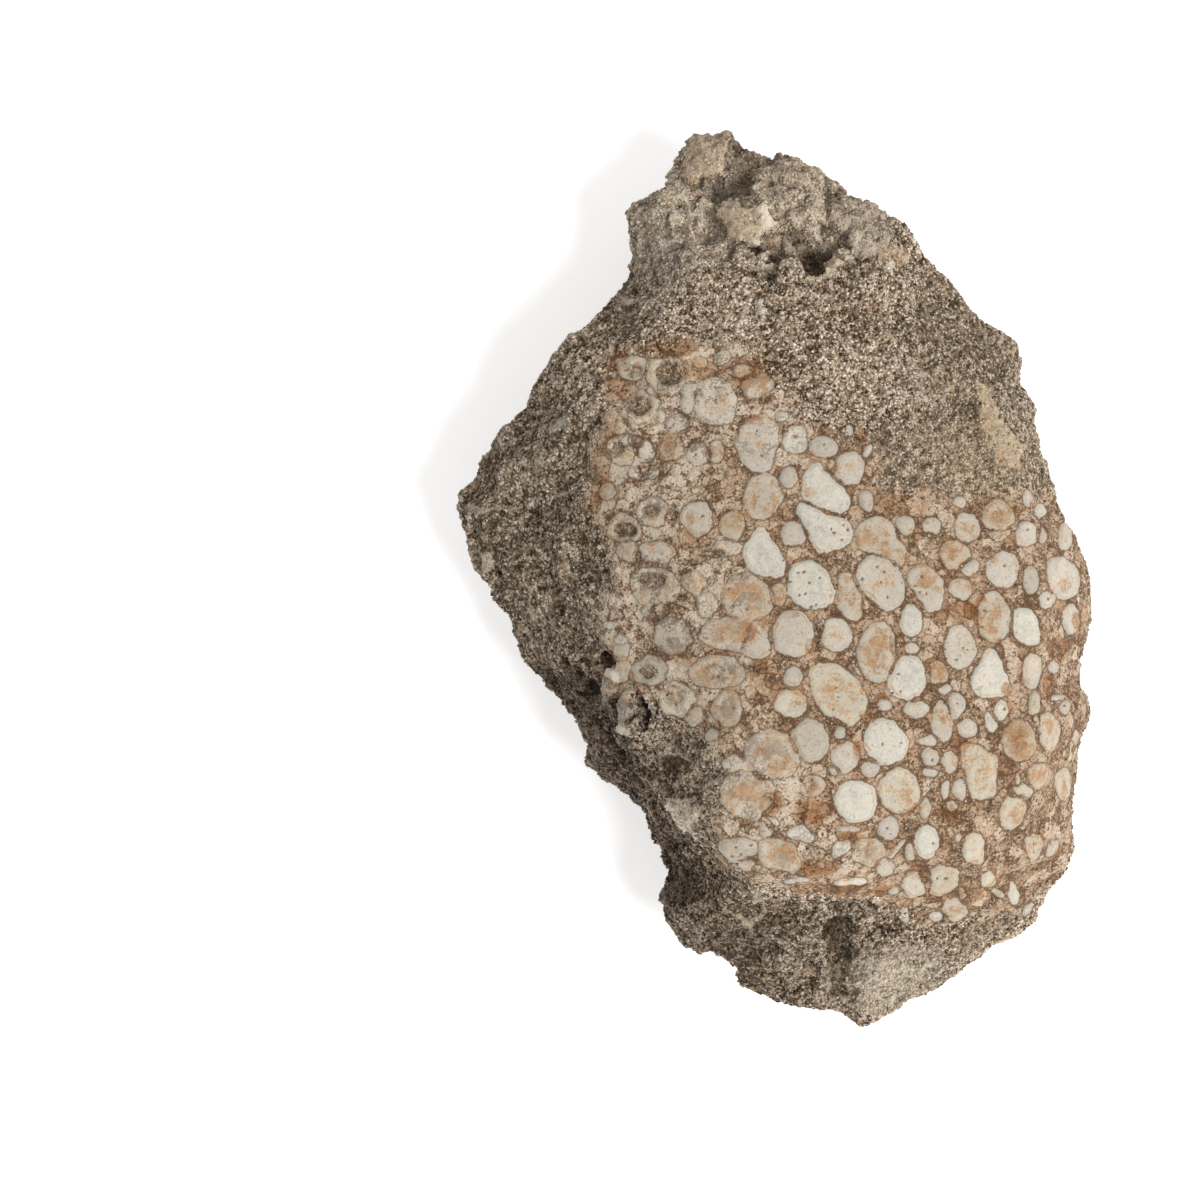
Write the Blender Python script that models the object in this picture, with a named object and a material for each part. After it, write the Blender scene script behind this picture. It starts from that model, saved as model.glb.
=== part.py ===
"""A loose lump of fossil coral in its limestone matrix, one solid, lying on a small flat spot.

The lump is a closed shell of rings. The upper side is the lowest of several worn and broken faces,
the under side is a shallow bowl that ends in the flat spot, and both meet along the rim.
+X is right, +Y is up the long side, and +Z is up. Lengths in the tables are in millimetres.
"""

import math

import bmesh
import bpy
import numpy as np
from mathutils import Vector, noise

MM = 0.001

# Driving dimensions
CREST = (3.5, -20.0, 38.0)
CREST_TO_NORTH = (0.0265, 1.6)
CREST_TO_SOUTH = (0.060, 1.6)
CREST_TO_WEST = 0.0115
CREST_TO_EAST = 0.0080
EDGE_ROUNDING = 1.0
UNDERSIDE_WIDTH = 19.0
UNDERSIDE_CURVE = 0.75
FLAT_SPOT_HEIGHT = 0.35
CENTRE = (5.0, -8.0)
AROUND = 400
RINGS = 84
TRIANGLES = 9400
SEED_SHIFT = Vector((11.3, 4.7, 8.1))

# The rim, clockwise from the north-west notch: x, y, height of the rim, slope of the flank above it
RIM = [
    (-16.5, 36.5, 14.0, 46),
    (-16.5, 39.5, 13.5, 42),
    (-17.0, 41.5, 13.0, 38),
    (-15.0, 44.0, 13.0, 40),
    (-12.5, 45.5, 13.0, 46),
    (-10.5, 48.5, 13.0, 52),
    (-9.0, 51.0, 13.0, 62),
    (-7.5, 50.5, 13.0, 62),
    (-4.5, 51.5, 13.0, 58),
    (-3.0, 50.0, 13.0, 66),
    (-0.5, 48.5, 13.0, 60),
    (1.5, 48.0, 13.0, 50),
    (5.0, 47.5, 13.5, 50),
    (6.0, 46.0, 14.5, 52),
    (8.5, 44.5, 15.0, 50),
    (12.0, 43.0, 15.5, 50),
    (15.0, 40.5, 16.0, 50),
    (17.0, 37.5, 16.0, 50),
    (19.5, 34.5, 16.0, 50),
    (22.0, 32.0, 16.0, 50),
    (23.0, 30.0, 16.0, 50),
    (26.5, 27.5, 16.0, 50),
    (28.0, 25.0, 16.5, 54),
    (27.5, 22.0, 17.0, 56),
    (29.0, 20.0, 18.0, 58),
    (30.0, 15.5, 19.0, 60),
    (31.5, 11.5, 20.0, 62),
    (32.5, 7.0, 20.0, 62),
    (34.5, 4.0, 20.0, 62),
    (35.5, 0.5, 20.0, 62),
    (36.0, -2.5, 20.0, 62),
    (35.5, -8.0, 20.0, 62),
    (35.0, -11.5, 20.0, 62),
    (36.0, -15.0, 20.0, 62),
    (35.0, -19.0, 20.0, 62),
    (34.5, -24.5, 19.5, 60),
    (34.0, -30.0, 18.5, 58),
    (33.0, -33.5, 18.0, 56),
    (31.0, -36.0, 17.0, 54),
    (29.0, -40.5, 16.0, 50),
    (25.0, -43.0, 15.5, 46),
    (21.5, -45.5, 15.0, 44),
    (17.0, -48.0, 14.5, 42),
    (11.5, -51.5, 14.0, 42),
    (9.5, -51.5, 13.5, 50),
    (6.0, -50.5, 13.0, 52),
    (1.5, -49.5, 12.5, 52),
    (-1.5, -48.5, 12.0, 52),
    (-4.0, -47.0, 11.5, 54),
    (-5.0, -45.0, 11.0, 56),
    (-7.5, -44.0, 11.0, 58),
    (-10.0, -43.0, 10.5, 60),
    (-12.0, -40.5, 10.0, 62),
    (-13.0, -37.5, 10.0, 66),
    (-12.0, -35.0, 10.0, 71),
    (-13.0, -32.0, 10.0, 75),
    (-15.0, -28.0, 10.0, 77),
    (-16.5, -26.0, 10.0, 76),
    (-18.5, -24.0, 10.0, 74),
    (-21.0, -21.0, 10.0, 72),
    (-22.0, -18.0, 10.0, 71),
    (-25.0, -14.5, 10.0, 68),
    (-28.0, -12.0, 10.0, 64),
    (-29.5, -9.5, 10.0, 60),
    (-30.0, -6.5, 11.0, 55),
    (-31.5, -3.5, 11.0, 50),
    (-34.0, 0.0, 11.0, 46),
    (-35.5, 3.5, 11.5, 44),
    (-36.5, 8.5, 12.0, 42),
    (-35.0, 11.0, 12.0, 44),
    (-33.0, 14.0, 12.5, 46),
    (-32.0, 16.5, 13.0, 48),
    (-28.5, 19.5, 14.0, 52),
    (-27.0, 23.0, 14.5, 52),
    (-23.5, 27.0, 15.0, 52),
    (-20.5, 30.0, 15.5, 52),
    (-17.5, 33.0, 15.0, 50),
]

# Large faces that cut the dome: a point on the face, the compass direction it falls to, its slope
FACES = {
    "west side": (-19.0, 8.0, 27.0, 184, 42),
    "north-west side": (-17.0, 27.0, 23.0, 150, 36),
    "north shoulder": (-2.5, 36.5, 21.5, 96, 26),
    "south-west corner": (-6.0, -36.5, 28.5, 235, 60),
    "south-east facet": (17.0, -38.5, 27.5, 297, 45),
}

# Faces that stop at a step: the same five values, then where the step stands and which way it rises
STEPPED_FACES = {
    "south-west wall": (-17.0, -17.0, 28.0, 207, 72, -22.0, -9.0, 120),
    "south side": (3.0, -37.0, 30.5, 268, 53, 8.8, -40.0, 0),
}
STEP_RISE = 3.0

# Broken patches of the surface: corners, change of height, softness of the edge, slope along x and y
PATCHES = {
    "north tan facet": (
        [(-10, 50), (-9, 52), (-3.5, 52), (-5, 48.5), (-5, 46), (-10, 45.2)],
        1.5,
        0.4,
        0.0,
        -0.1,
    ),
    "north slope": ([(-5, 50), (-2.5, 50.5), (0, 48), (-1, 45.5), (-4, 46)], -0.8, 0.5, 0.2, 0.0),
    "north hollow": (
        [(-7, 45), (-2.5, 46.2), (-2.8, 43.5), (-3.5, 42.2), (-6.2, 42.3)],
        -1.8,
        0.4,
        0.0,
        0.0,
    ),
    "north-west lobe": (
        [(-17, 41), (-14, 46), (-10, 45), (-7.3, 43.9), (-7, 42), (-12, 41)],
        1.2,
        0.7,
        0.0,
        0.0,
    ),
    "granular bump": (
        [(-0.5, 46), (2, 47), (5, 46.2), (5.5, 40.3), (0.5, 40.2)],
        1.3,
        0.6,
        0.0,
        0.0,
    ),
    "north rim ledge": ([(0, 49), (6, 49), (6, 46.8), (0, 46.8)], -1.2, 0.4, 0.0, 0.0),
    "north-east lobe": (
        [(6, 44.5), (9, 45), (14.5, 42), (15.5, 38.5), (9, 38), (6.5, 39.5)],
        1.1,
        0.9,
        0.0,
        0.0,
    ),
    "north slab": (
        [(-6.3, 41.5), (-1, 42.3), (0, 40.5), (-0.2, 39.2), (-2.7, 37.2), (-5, 38)],
        1.6,
        0.35,
        -0.1,
        0.12,
    ),
    "north cavity": (
        [(-2.4, 37.3), (0.3, 39.2), (5, 39.3), (7, 37.5), (5.5, 34.3), (3, 35.6), (0.5, 36.4)],
        -2.4,
        0.45,
        0.0,
        0.0,
    ),
    "below the ledge": (
        [(2.5, 35.2), (5, 31.8), (7.5, 30.8), (9.5, 33.5), (7.5, 35)],
        -0.8,
        0.5,
        0.0,
        0.0,
    ),
    "north-east band": (
        [(15, 36), (20.5, 30), (23.5, 26), (24.5, 23.5), (30, 24), (22, 34), (18, 38)],
        -1.6,
        0.7,
        0.0,
        0.0,
    ),
    "north-east notch": ([(24, 25.5), (26, 24), (26.5, 21.5), (24.5, 22)], -1.6, 0.5, 0.0, 0.0),
    "west tip": ([(-33, -1), (-30, 3), (-30, 8), (-37, 10), (-37, 3)], 0.8, 0.6, 0.0, 0.0),
    "pale tooth": (
        [(-14, -24.3), (-9, -25.5), (-8.5, -28), (-10, -28.5), (-13.7, -26.8)],
        1.3,
        0.4,
        0.0,
        0.0,
    ),
    "wall shelf": (
        [(-15.5, -18.5), (-10.6, -18), (-10.3, -22.6), (-14.6, -23.2)],
        -1.8,
        0.5,
        0.25,
        0.0,
    ),
    "south groove": ([(6, -38), (9, -38), (8.8, -48), (6.8, -48.5)], -1.8, 0.6, 0.0, 0.0),
    "south-east notch": (
        [(22.3, -39.3), (25, -35.5), (26, -36), (23.5, -39.7)],
        -1.0,
        0.4,
        0.0,
        0.0,
    ),
}

# Lumps and pits: x, y, half length, half width, turn in degrees, change of height
LUMPS = {
    "conchoidal lip": (6.6, 34.8, 2.6, 0.8, 42, 1.0),
    "second pit": (5.2, 35.6, 1.0, 1.0, 30, -1.2),
    "cavity lump": (1.0, 38.0, 1.1, 0.9, 0, 1.2),
    "white grain": (-1.2, 30.3, 1.3, 0.7, 80, 0.6),
    "pebble": (10.8, 37.0, 1.3, 1.0, -20, 0.9),
    "rim chunk": (27, 26, 1.6, 1.4, 0, 1.2),
    "wall hole": (-18.6, -9.7, 0.9, 1.2, 0, -2.4),
    "first tube": (-18.9, -13.6, 2.0, 0.9, 68, 1.0),
    "second tube": (-17.0, -16.0, 2.0, 1.2, 90, 1.1),
    "wall crevice": (-15.2, -16.7, 2.2, 0.7, 106, -1.8),
    "pale lip": (-2.8, -38.4, 2.2, 0.8, 8, 1.1),
    "wall foot": (-9.5, -39.5, 4.0, 3.0, 60, 1.4),
}


def curve_through(points, steps):
    """A closed Catmull-Rom curve through all columns of the points."""
    rows = np.array(points, float)
    before = np.roll(rows, 1, axis=0)
    after = np.roll(rows, -1, axis=0)
    later = np.roll(rows, -2, axis=0)
    parts = []
    for u in np.linspace(0.0, 1.0, steps, endpoint=False):
        pull = after - before
        rise = 2.0 * before - 5.0 * rows + 4.0 * after - later
        twist = 3.0 * rows - before - 3.0 * after + later
        parts.append(rows + 0.5 * (pull * u + rise * u * u + twist * u**3))
    return np.stack(parts, axis=1).reshape(-1, rows.shape[1])


def soft_min(a, b, width):
    """The lower of two heights, with the edge between them rounded over the width."""
    mix = np.clip(0.5 + 0.5 * (b - a) / width, 0.0, 1.0)
    return b + (a - b) * mix - width * mix * (1.0 - mix)


def outward(x, y, px, py, compass):
    """Distance from a point towards a compass direction, in degrees from east."""
    turn = math.radians(compass)
    return (x - px) * math.cos(turn) + (y - py) * math.sin(turn)


def inside_depth(x, y, corners):
    """Distance to the sides of a polygon, positive inside it."""
    nearest = np.full(x.shape, 1e9)
    inside = np.zeros(x.shape, bool)
    for (ax, ay), (bx, by) in zip(corners, corners[1:] + corners[:1]):
        length = (bx - ax) ** 2 + (by - ay) ** 2
        along = np.clip(((x - ax) * (bx - ax) + (y - ay) * (by - ay)) / length, 0, 1)
        gap = np.hypot(x - ax - along * (bx - ax), y - ay - along * (by - ay))
        nearest = np.minimum(nearest, gap)
        if ay != by:
            crosses = (ay > y) != (by > y)
            inside ^= crosses & (x < (bx - ax) * (y - ay) / (by - ay) + ax)
    return np.where(inside, nearest, -nearest)


def rim_values(x, y, rim):
    """Distance to the rim, and the rim's height and flank slope at the nearest part of it."""
    gap = np.hypot(x[:, None] - rim[None, :, 0], y[:, None] - rim[None, :, 1])
    near = gap.min(axis=1)
    weight = np.exp(-(gap - near[:, None]) / 2.0)
    weight /= weight.sum(axis=1)[:, None]
    return near, weight @ rim[:, 2], weight @ rim[:, 3]


def dome_height(x, y):
    """The worn coral face: highest at the crest, falling gently north and steeply south."""
    away = y - CREST[1]
    factor, power = CREST_TO_NORTH
    fall = np.where(away > 0, factor * np.abs(away) ** power, 0.0)
    factor, power = CREST_TO_SOUTH
    fall += np.where(away < 0, factor * np.abs(away) ** power, 0.0)
    middle = CREST[0] - 0.09 * np.maximum(away, 0.0)
    across = x - middle
    fall += np.where(across < 0, CREST_TO_WEST, CREST_TO_EAST) * across**2
    return CREST[2] - fall


def top_height(x, y, rim):
    near, base, slope = rim_values(x, y, rim)
    height = dome_height(x, y)
    for px, py, pz, compass, angle in FACES.values():
        face = pz - outward(x, y, px, py, compass) * math.tan(math.radians(angle))
        height = soft_min(height, face, EDGE_ROUNDING)
    for px, py, pz, compass, angle, sx, sy, step in STEPPED_FACES.values():
        face = pz - outward(x, y, px, py, compass) * math.tan(math.radians(angle))
        face += STEP_RISE * np.maximum(outward(x, y, sx, sy, step), 0.0)
        height = soft_min(height, face, EDGE_ROUNDING)
    flank = base + near * np.tan(np.radians(slope))
    height = soft_min(height, flank, 1.6)
    height = np.maximum(height, base + 0.2 * near)
    fade = np.clip(near / 2.0, 0.0, 1.0)
    for corners, change, soft, along_x, along_y in PATCHES.values():
        depth = inside_depth(x, y, corners)
        amount = 1.0 / (1.0 + np.exp(-depth / (0.35 * soft)))
        middle = np.mean(corners, axis=0)
        tilt = along_x * (x - middle[0]) + along_y * (y - middle[1])
        height += amount * (change + tilt) * fade
    for px, py, long, wide, turn, change in LUMPS.values():
        angle = math.radians(turn)
        u = ((x - px) * math.cos(angle) + (y - py) * math.sin(angle)) / long
        v = ((y - py) * math.cos(angle) - (x - px) * math.sin(angle)) / wide
        height += change * np.exp(-((u * u + v * v) ** 1.5)) * fade
    return height


def under_height(x, y, rim):
    near, base, _ = rim_values(x, y, rim)
    share = np.clip(near / UNDERSIDE_WIDTH, 0.0, 1.0)
    height = base * (1.0 - share**UNDERSIDE_CURVE) ** 2.0
    chips = np.array([noise.noise(Vector((a, b, 3.0)) * 0.09) for a, b in zip(x, y)])
    height += chips * 4.0 * np.sin(np.pi * np.clip(near / UNDERSIDE_WIDTH, 0, 1))
    return np.where(height < FLAT_SPOT_HEIGHT, 0.0, height)


def build_shell():
    """Rings of points from the centre to the rim, above and below, bridged into one closed mesh."""
    rim = curve_through(RIM, 8)
    angle = np.arctan2(rim[:, 1] - CENTRE[1], rim[:, 0] - CENTRE[0])
    order = np.argsort(angle)
    angle, rim = angle[order], rim[order]
    steps = np.linspace(-math.pi, math.pi, AROUND, endpoint=False)
    columns = [np.interp(steps, angle, rim[:, i], period=2 * math.pi) for i in range(4)]
    edge = np.stack(columns, axis=1)
    share = np.linspace(0.0, 1.0, RINGS + 1)[1:]
    x = CENTRE[0] + share[:, None] * (edge[None, :, 0] - CENTRE[0])
    y = CENTRE[1] + share[:, None] * (edge[None, :, 1] - CENTRE[1])
    top = top_height(x.ravel(), y.ravel(), edge).reshape(x.shape)
    under = under_height(x.ravel(), y.ravel(), edge).reshape(x.shape)
    top[-1] = edge[:, 2]
    under = np.minimum(under, top - 2.0 * (1.0 - share[:, None]))
    middle_top = top_height(np.array([CENTRE[0]]), np.array([CENTRE[1]]), edge)[0]

    shell = bmesh.new()
    rim_share = shell.verts.layers.float.new("rim_share")
    rings_up = []
    rings_down = []
    for ring in range(RINGS):
        points = zip(x[ring], y[ring], top[ring])
        rings_up.append([shell.verts.new((a, b, c)) for a, b, c in points])
        for vert in rings_up[-1]:
            vert[rim_share] = share[ring]
    for ring in range(RINGS - 1):
        points = zip(x[ring], y[ring], under[ring])
        rings_down.append([shell.verts.new((a, b, c)) for a, b, c in points])
        for vert in rings_down[-1]:
            vert[rim_share] = share[ring]
    rings_down.append(rings_up[-1])
    crown = shell.verts.new((CENTRE[0], CENTRE[1], middle_top))
    sole = shell.verts.new((CENTRE[0], CENTRE[1], 0.0))
    for k in range(AROUND):
        n = (k + 1) % AROUND
        shell.faces.new((crown, rings_up[0][k], rings_up[0][n]))
        shell.faces.new((sole, rings_down[0][n], rings_down[0][k]))
        for ring in range(RINGS - 1):
            a, b = rings_up[ring], rings_up[ring + 1]
            shell.faces.new((a[k], b[k], b[n], a[n]))
            a, b = rings_down[ring], rings_down[ring + 1]
            shell.faces.new((a[n], b[n], b[k], a[k]))
    shell.normal_update()
    return shell


def roughen(shell):
    """Breaks the smooth shell up along its normals: deep on the broken matrix, little on the worn coral."""
    rim_share = shell.verts.layers.float["rim_share"]
    moves = {}
    for vert in shell.verts:
        if vert.co.z < 0.01:
            continue
        x, y, z = vert.co
        worn = math.exp(-(((x - 6) / 27) ** 4 + ((y + 8) / 34) ** 4)) * max(vert.normal.z, 0.0) ** 2
        place = vert.co + SEED_SHIFT
        swell = noise.fractal(place / 10.0, 1.0, 2.0, 3)
        broad = noise.voronoi(place / 13.0)[0][0] - 0.5
        scoops = noise.voronoi(place / 5.5)[0][0] - 0.5
        small = noise.noise(place / 2.0)
        side = 1.0 - max(vert.normal.z, 0.0) ** 1.5
        depth = swell * (1.0 - 0.6 * worn)
        depth += (1.7 * scoops + 0.4 * small) * (1.0 - worn)
        depth += 3.4 * broad * side
        calm = min(1.0, 0.3 + 6.0 * (1.0 - vert[rim_share]))
        moves[vert] = vert.normal * depth * calm * min(1.0, z / 3.0)
    for vert, move in moves.items():
        vert.co += move


def stone_material():
    stone = bpy.data.materials.new("limestone")
    stone.use_nodes = True
    surface = stone.node_tree.nodes["Principled BSDF"]
    surface.inputs["Base Color"].default_value = (0.30, 0.235, 0.165, 1.0)
    surface.inputs["Roughness"].default_value = 0.9
    surface.inputs["Metallic"].default_value = 0.0
    return stone


def thinned(shell):
    """The shell with no more triangles than the shape needs, and its flat spot exactly flat."""
    mesh = bpy.data.meshes.new("coral_stone")
    shell.to_mesh(mesh)
    shell.free()
    dense = bpy.data.objects.new("dense", mesh)
    bpy.context.scene.collection.objects.link(dense)
    fewer = dense.modifiers.new("fewer triangles", "DECIMATE")
    triangles = sum(len(face.vertices) - 2 for face in mesh.polygons)
    fewer.ratio = TRIANGLES / triangles
    graph = bpy.context.evaluated_depsgraph_get()
    result = bpy.data.meshes.new_from_object(dense.evaluated_get(graph))
    bpy.data.objects.remove(dense)
    points = np.empty(len(result.vertices) * 3)
    result.vertices.foreach_get("co", points)
    points = points.reshape(-1, 3)
    points[points[:, 2] < 0.12, 2] = 0.0
    low, high = points.min(axis=0), points.max(axis=0)
    points -= ((low[0] + high[0]) / 2, (low[1] + high[1]) / 2, 0.0)
    result.vertices.foreach_set("co", (points * MM).ravel())
    result.update()
    return result


def build():
    for old in list(bpy.data.objects):
        bpy.data.objects.remove(old)
    shell = build_shell()
    roughen(shell)
    stone = bpy.data.objects.new("coral_stone", thinned(shell))
    bpy.context.scene.collection.objects.link(stone)
    stone.data.materials.append(stone_material())
    size = [round(1000 * side, 1) for side in stone.dimensions]
    print("coral_stone", size, "mm", len(stone.data.polygons), "triangles")


build()
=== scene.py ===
# %% [markdown]
# # A fossil coral in its limestone matrix
# This notebook dresses a plain CAD solid so that it looks like a real lump of fossil coral.
# The lump is one natural piece: a worn patch of round coral cups in brown, sandy limestone.
# The solid gives the outline, the faces and the big lumps. Everything finer is made here.
# The frame is loaded first and stays as it is, because each piece of the stone is made from it.

# %% Load the frame
import math

import bmesh
import bpy
import numpy as np
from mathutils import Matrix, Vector, kdtree, noise


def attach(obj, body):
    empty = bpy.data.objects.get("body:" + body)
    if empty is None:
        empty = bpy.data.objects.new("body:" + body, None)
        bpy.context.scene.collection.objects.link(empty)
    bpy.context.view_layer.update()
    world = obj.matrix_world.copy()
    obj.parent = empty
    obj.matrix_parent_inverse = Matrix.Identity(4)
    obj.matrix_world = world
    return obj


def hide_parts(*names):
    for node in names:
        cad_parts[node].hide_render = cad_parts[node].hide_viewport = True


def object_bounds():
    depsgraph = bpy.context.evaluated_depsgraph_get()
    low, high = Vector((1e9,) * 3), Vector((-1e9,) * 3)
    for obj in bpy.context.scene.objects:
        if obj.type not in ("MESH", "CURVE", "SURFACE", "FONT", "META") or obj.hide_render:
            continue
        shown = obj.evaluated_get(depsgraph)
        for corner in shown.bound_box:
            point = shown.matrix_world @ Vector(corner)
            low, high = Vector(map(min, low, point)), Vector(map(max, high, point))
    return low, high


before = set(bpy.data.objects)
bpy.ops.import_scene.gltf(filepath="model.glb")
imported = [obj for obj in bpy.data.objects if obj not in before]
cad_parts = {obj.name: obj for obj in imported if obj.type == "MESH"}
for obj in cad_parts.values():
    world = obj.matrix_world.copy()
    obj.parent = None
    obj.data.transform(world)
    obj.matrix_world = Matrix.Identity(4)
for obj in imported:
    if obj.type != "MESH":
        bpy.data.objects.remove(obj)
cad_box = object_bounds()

MM = 0.001
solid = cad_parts["coral_stone"]
print("CAD box in mm:", [[round(c / MM, 1) for c in corner] for corner in cad_box])

# %% [markdown]
# ## Where the camera stands
# The camera looks straight down from 600 mm, so it sees the worn coral face square on.
# Its place is worked out first, because the cups are listed where they are in that square view.
# A cup listed by a pixel still has to lie on the stone, and a high point shows further out than
# a low one. So each point of the stone is carried up to the picture before it is compared.

# %% Camera numbers
PICTURE = 1200  # pixels across and down
CAMERA_HEIGHT = 600.0  # this and the next three are in mm
CAMERA_X = -19.55
CAMERA_Y = -2.68
FLOOR_WIDTH = 141.05  # of the floor, across the whole picture


def pixel_of(points):
    """Picture pixels of points in mm, and the size of one pixel there, in mm."""
    size = FLOOR_WIDTH / PICTURE * (CAMERA_HEIGHT - points[:, 2]) / CAMERA_HEIGHT
    across = PICTURE / 2 + (points[:, 0] - CAMERA_X) / size
    down = PICTURE / 2 - (points[:, 1] - CAMERA_Y) / size
    return across, down, size


print("one pixel on the floor is", round(FLOOR_WIDTH / PICTURE, 4), "mm")

# %% [markdown]
# ## The bare stone
# The CAD solid has about 9,400 flat triangles, each 2 mm or so across. A worn limestone has no
# such facets. It could be sculpted by hand or subdivided, but subdividing keeps the facets' web.
# A voxel remesh lays an even net of small squares over the solid instead, and a few rounds of
# smoothing melt the facets. The net is as fine as a piece of under 200,000 triangles can be.

# %% Remesh a copy of the solid
NET = 0.455
MELT_ROUNDS = 11


def applied(obj):
    """Turns an object's modifiers into its mesh."""
    graph = bpy.context.evaluated_depsgraph_get()
    mesh = bpy.data.meshes.new_from_object(obj.evaluated_get(graph))
    obj.modifiers.clear()
    obj.data = mesh
    return obj


stone = bpy.data.objects.new("stone", solid.data.copy())
bpy.context.scene.collection.objects.link(stone)
stone.data.materials.clear()
net = stone.modifiers.new("even net", "REMESH")
net.mode = "VOXEL"
net.voxel_size = NET * MM
melt = stone.modifiers.new("melt the facets", "SMOOTH")
melt.iterations = MELT_ROUNDS
melt.factor = 0.5
applied(stone)
print("stone net:", len(stone.data.vertices), "points,", len(stone.data.polygons), "squares")

# %% [markdown]
# ## Round and oval cups
# A coral of this kind is a bundle of tubes. Where the stone is worn across them, each tube shows
# as a round cup of pale calcite, mostly 1 to 6 mm wide, in a thin dark wall, with sandy filling
# between.
# A cell pattern could scatter such cups, but then none would stand where the real one does.
# So each cup is listed in pixels of the picture: its centre, its two half widths and its look.
# The letter of a name is a block of the stone, from A in the north-west to M in the south-east.

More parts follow.
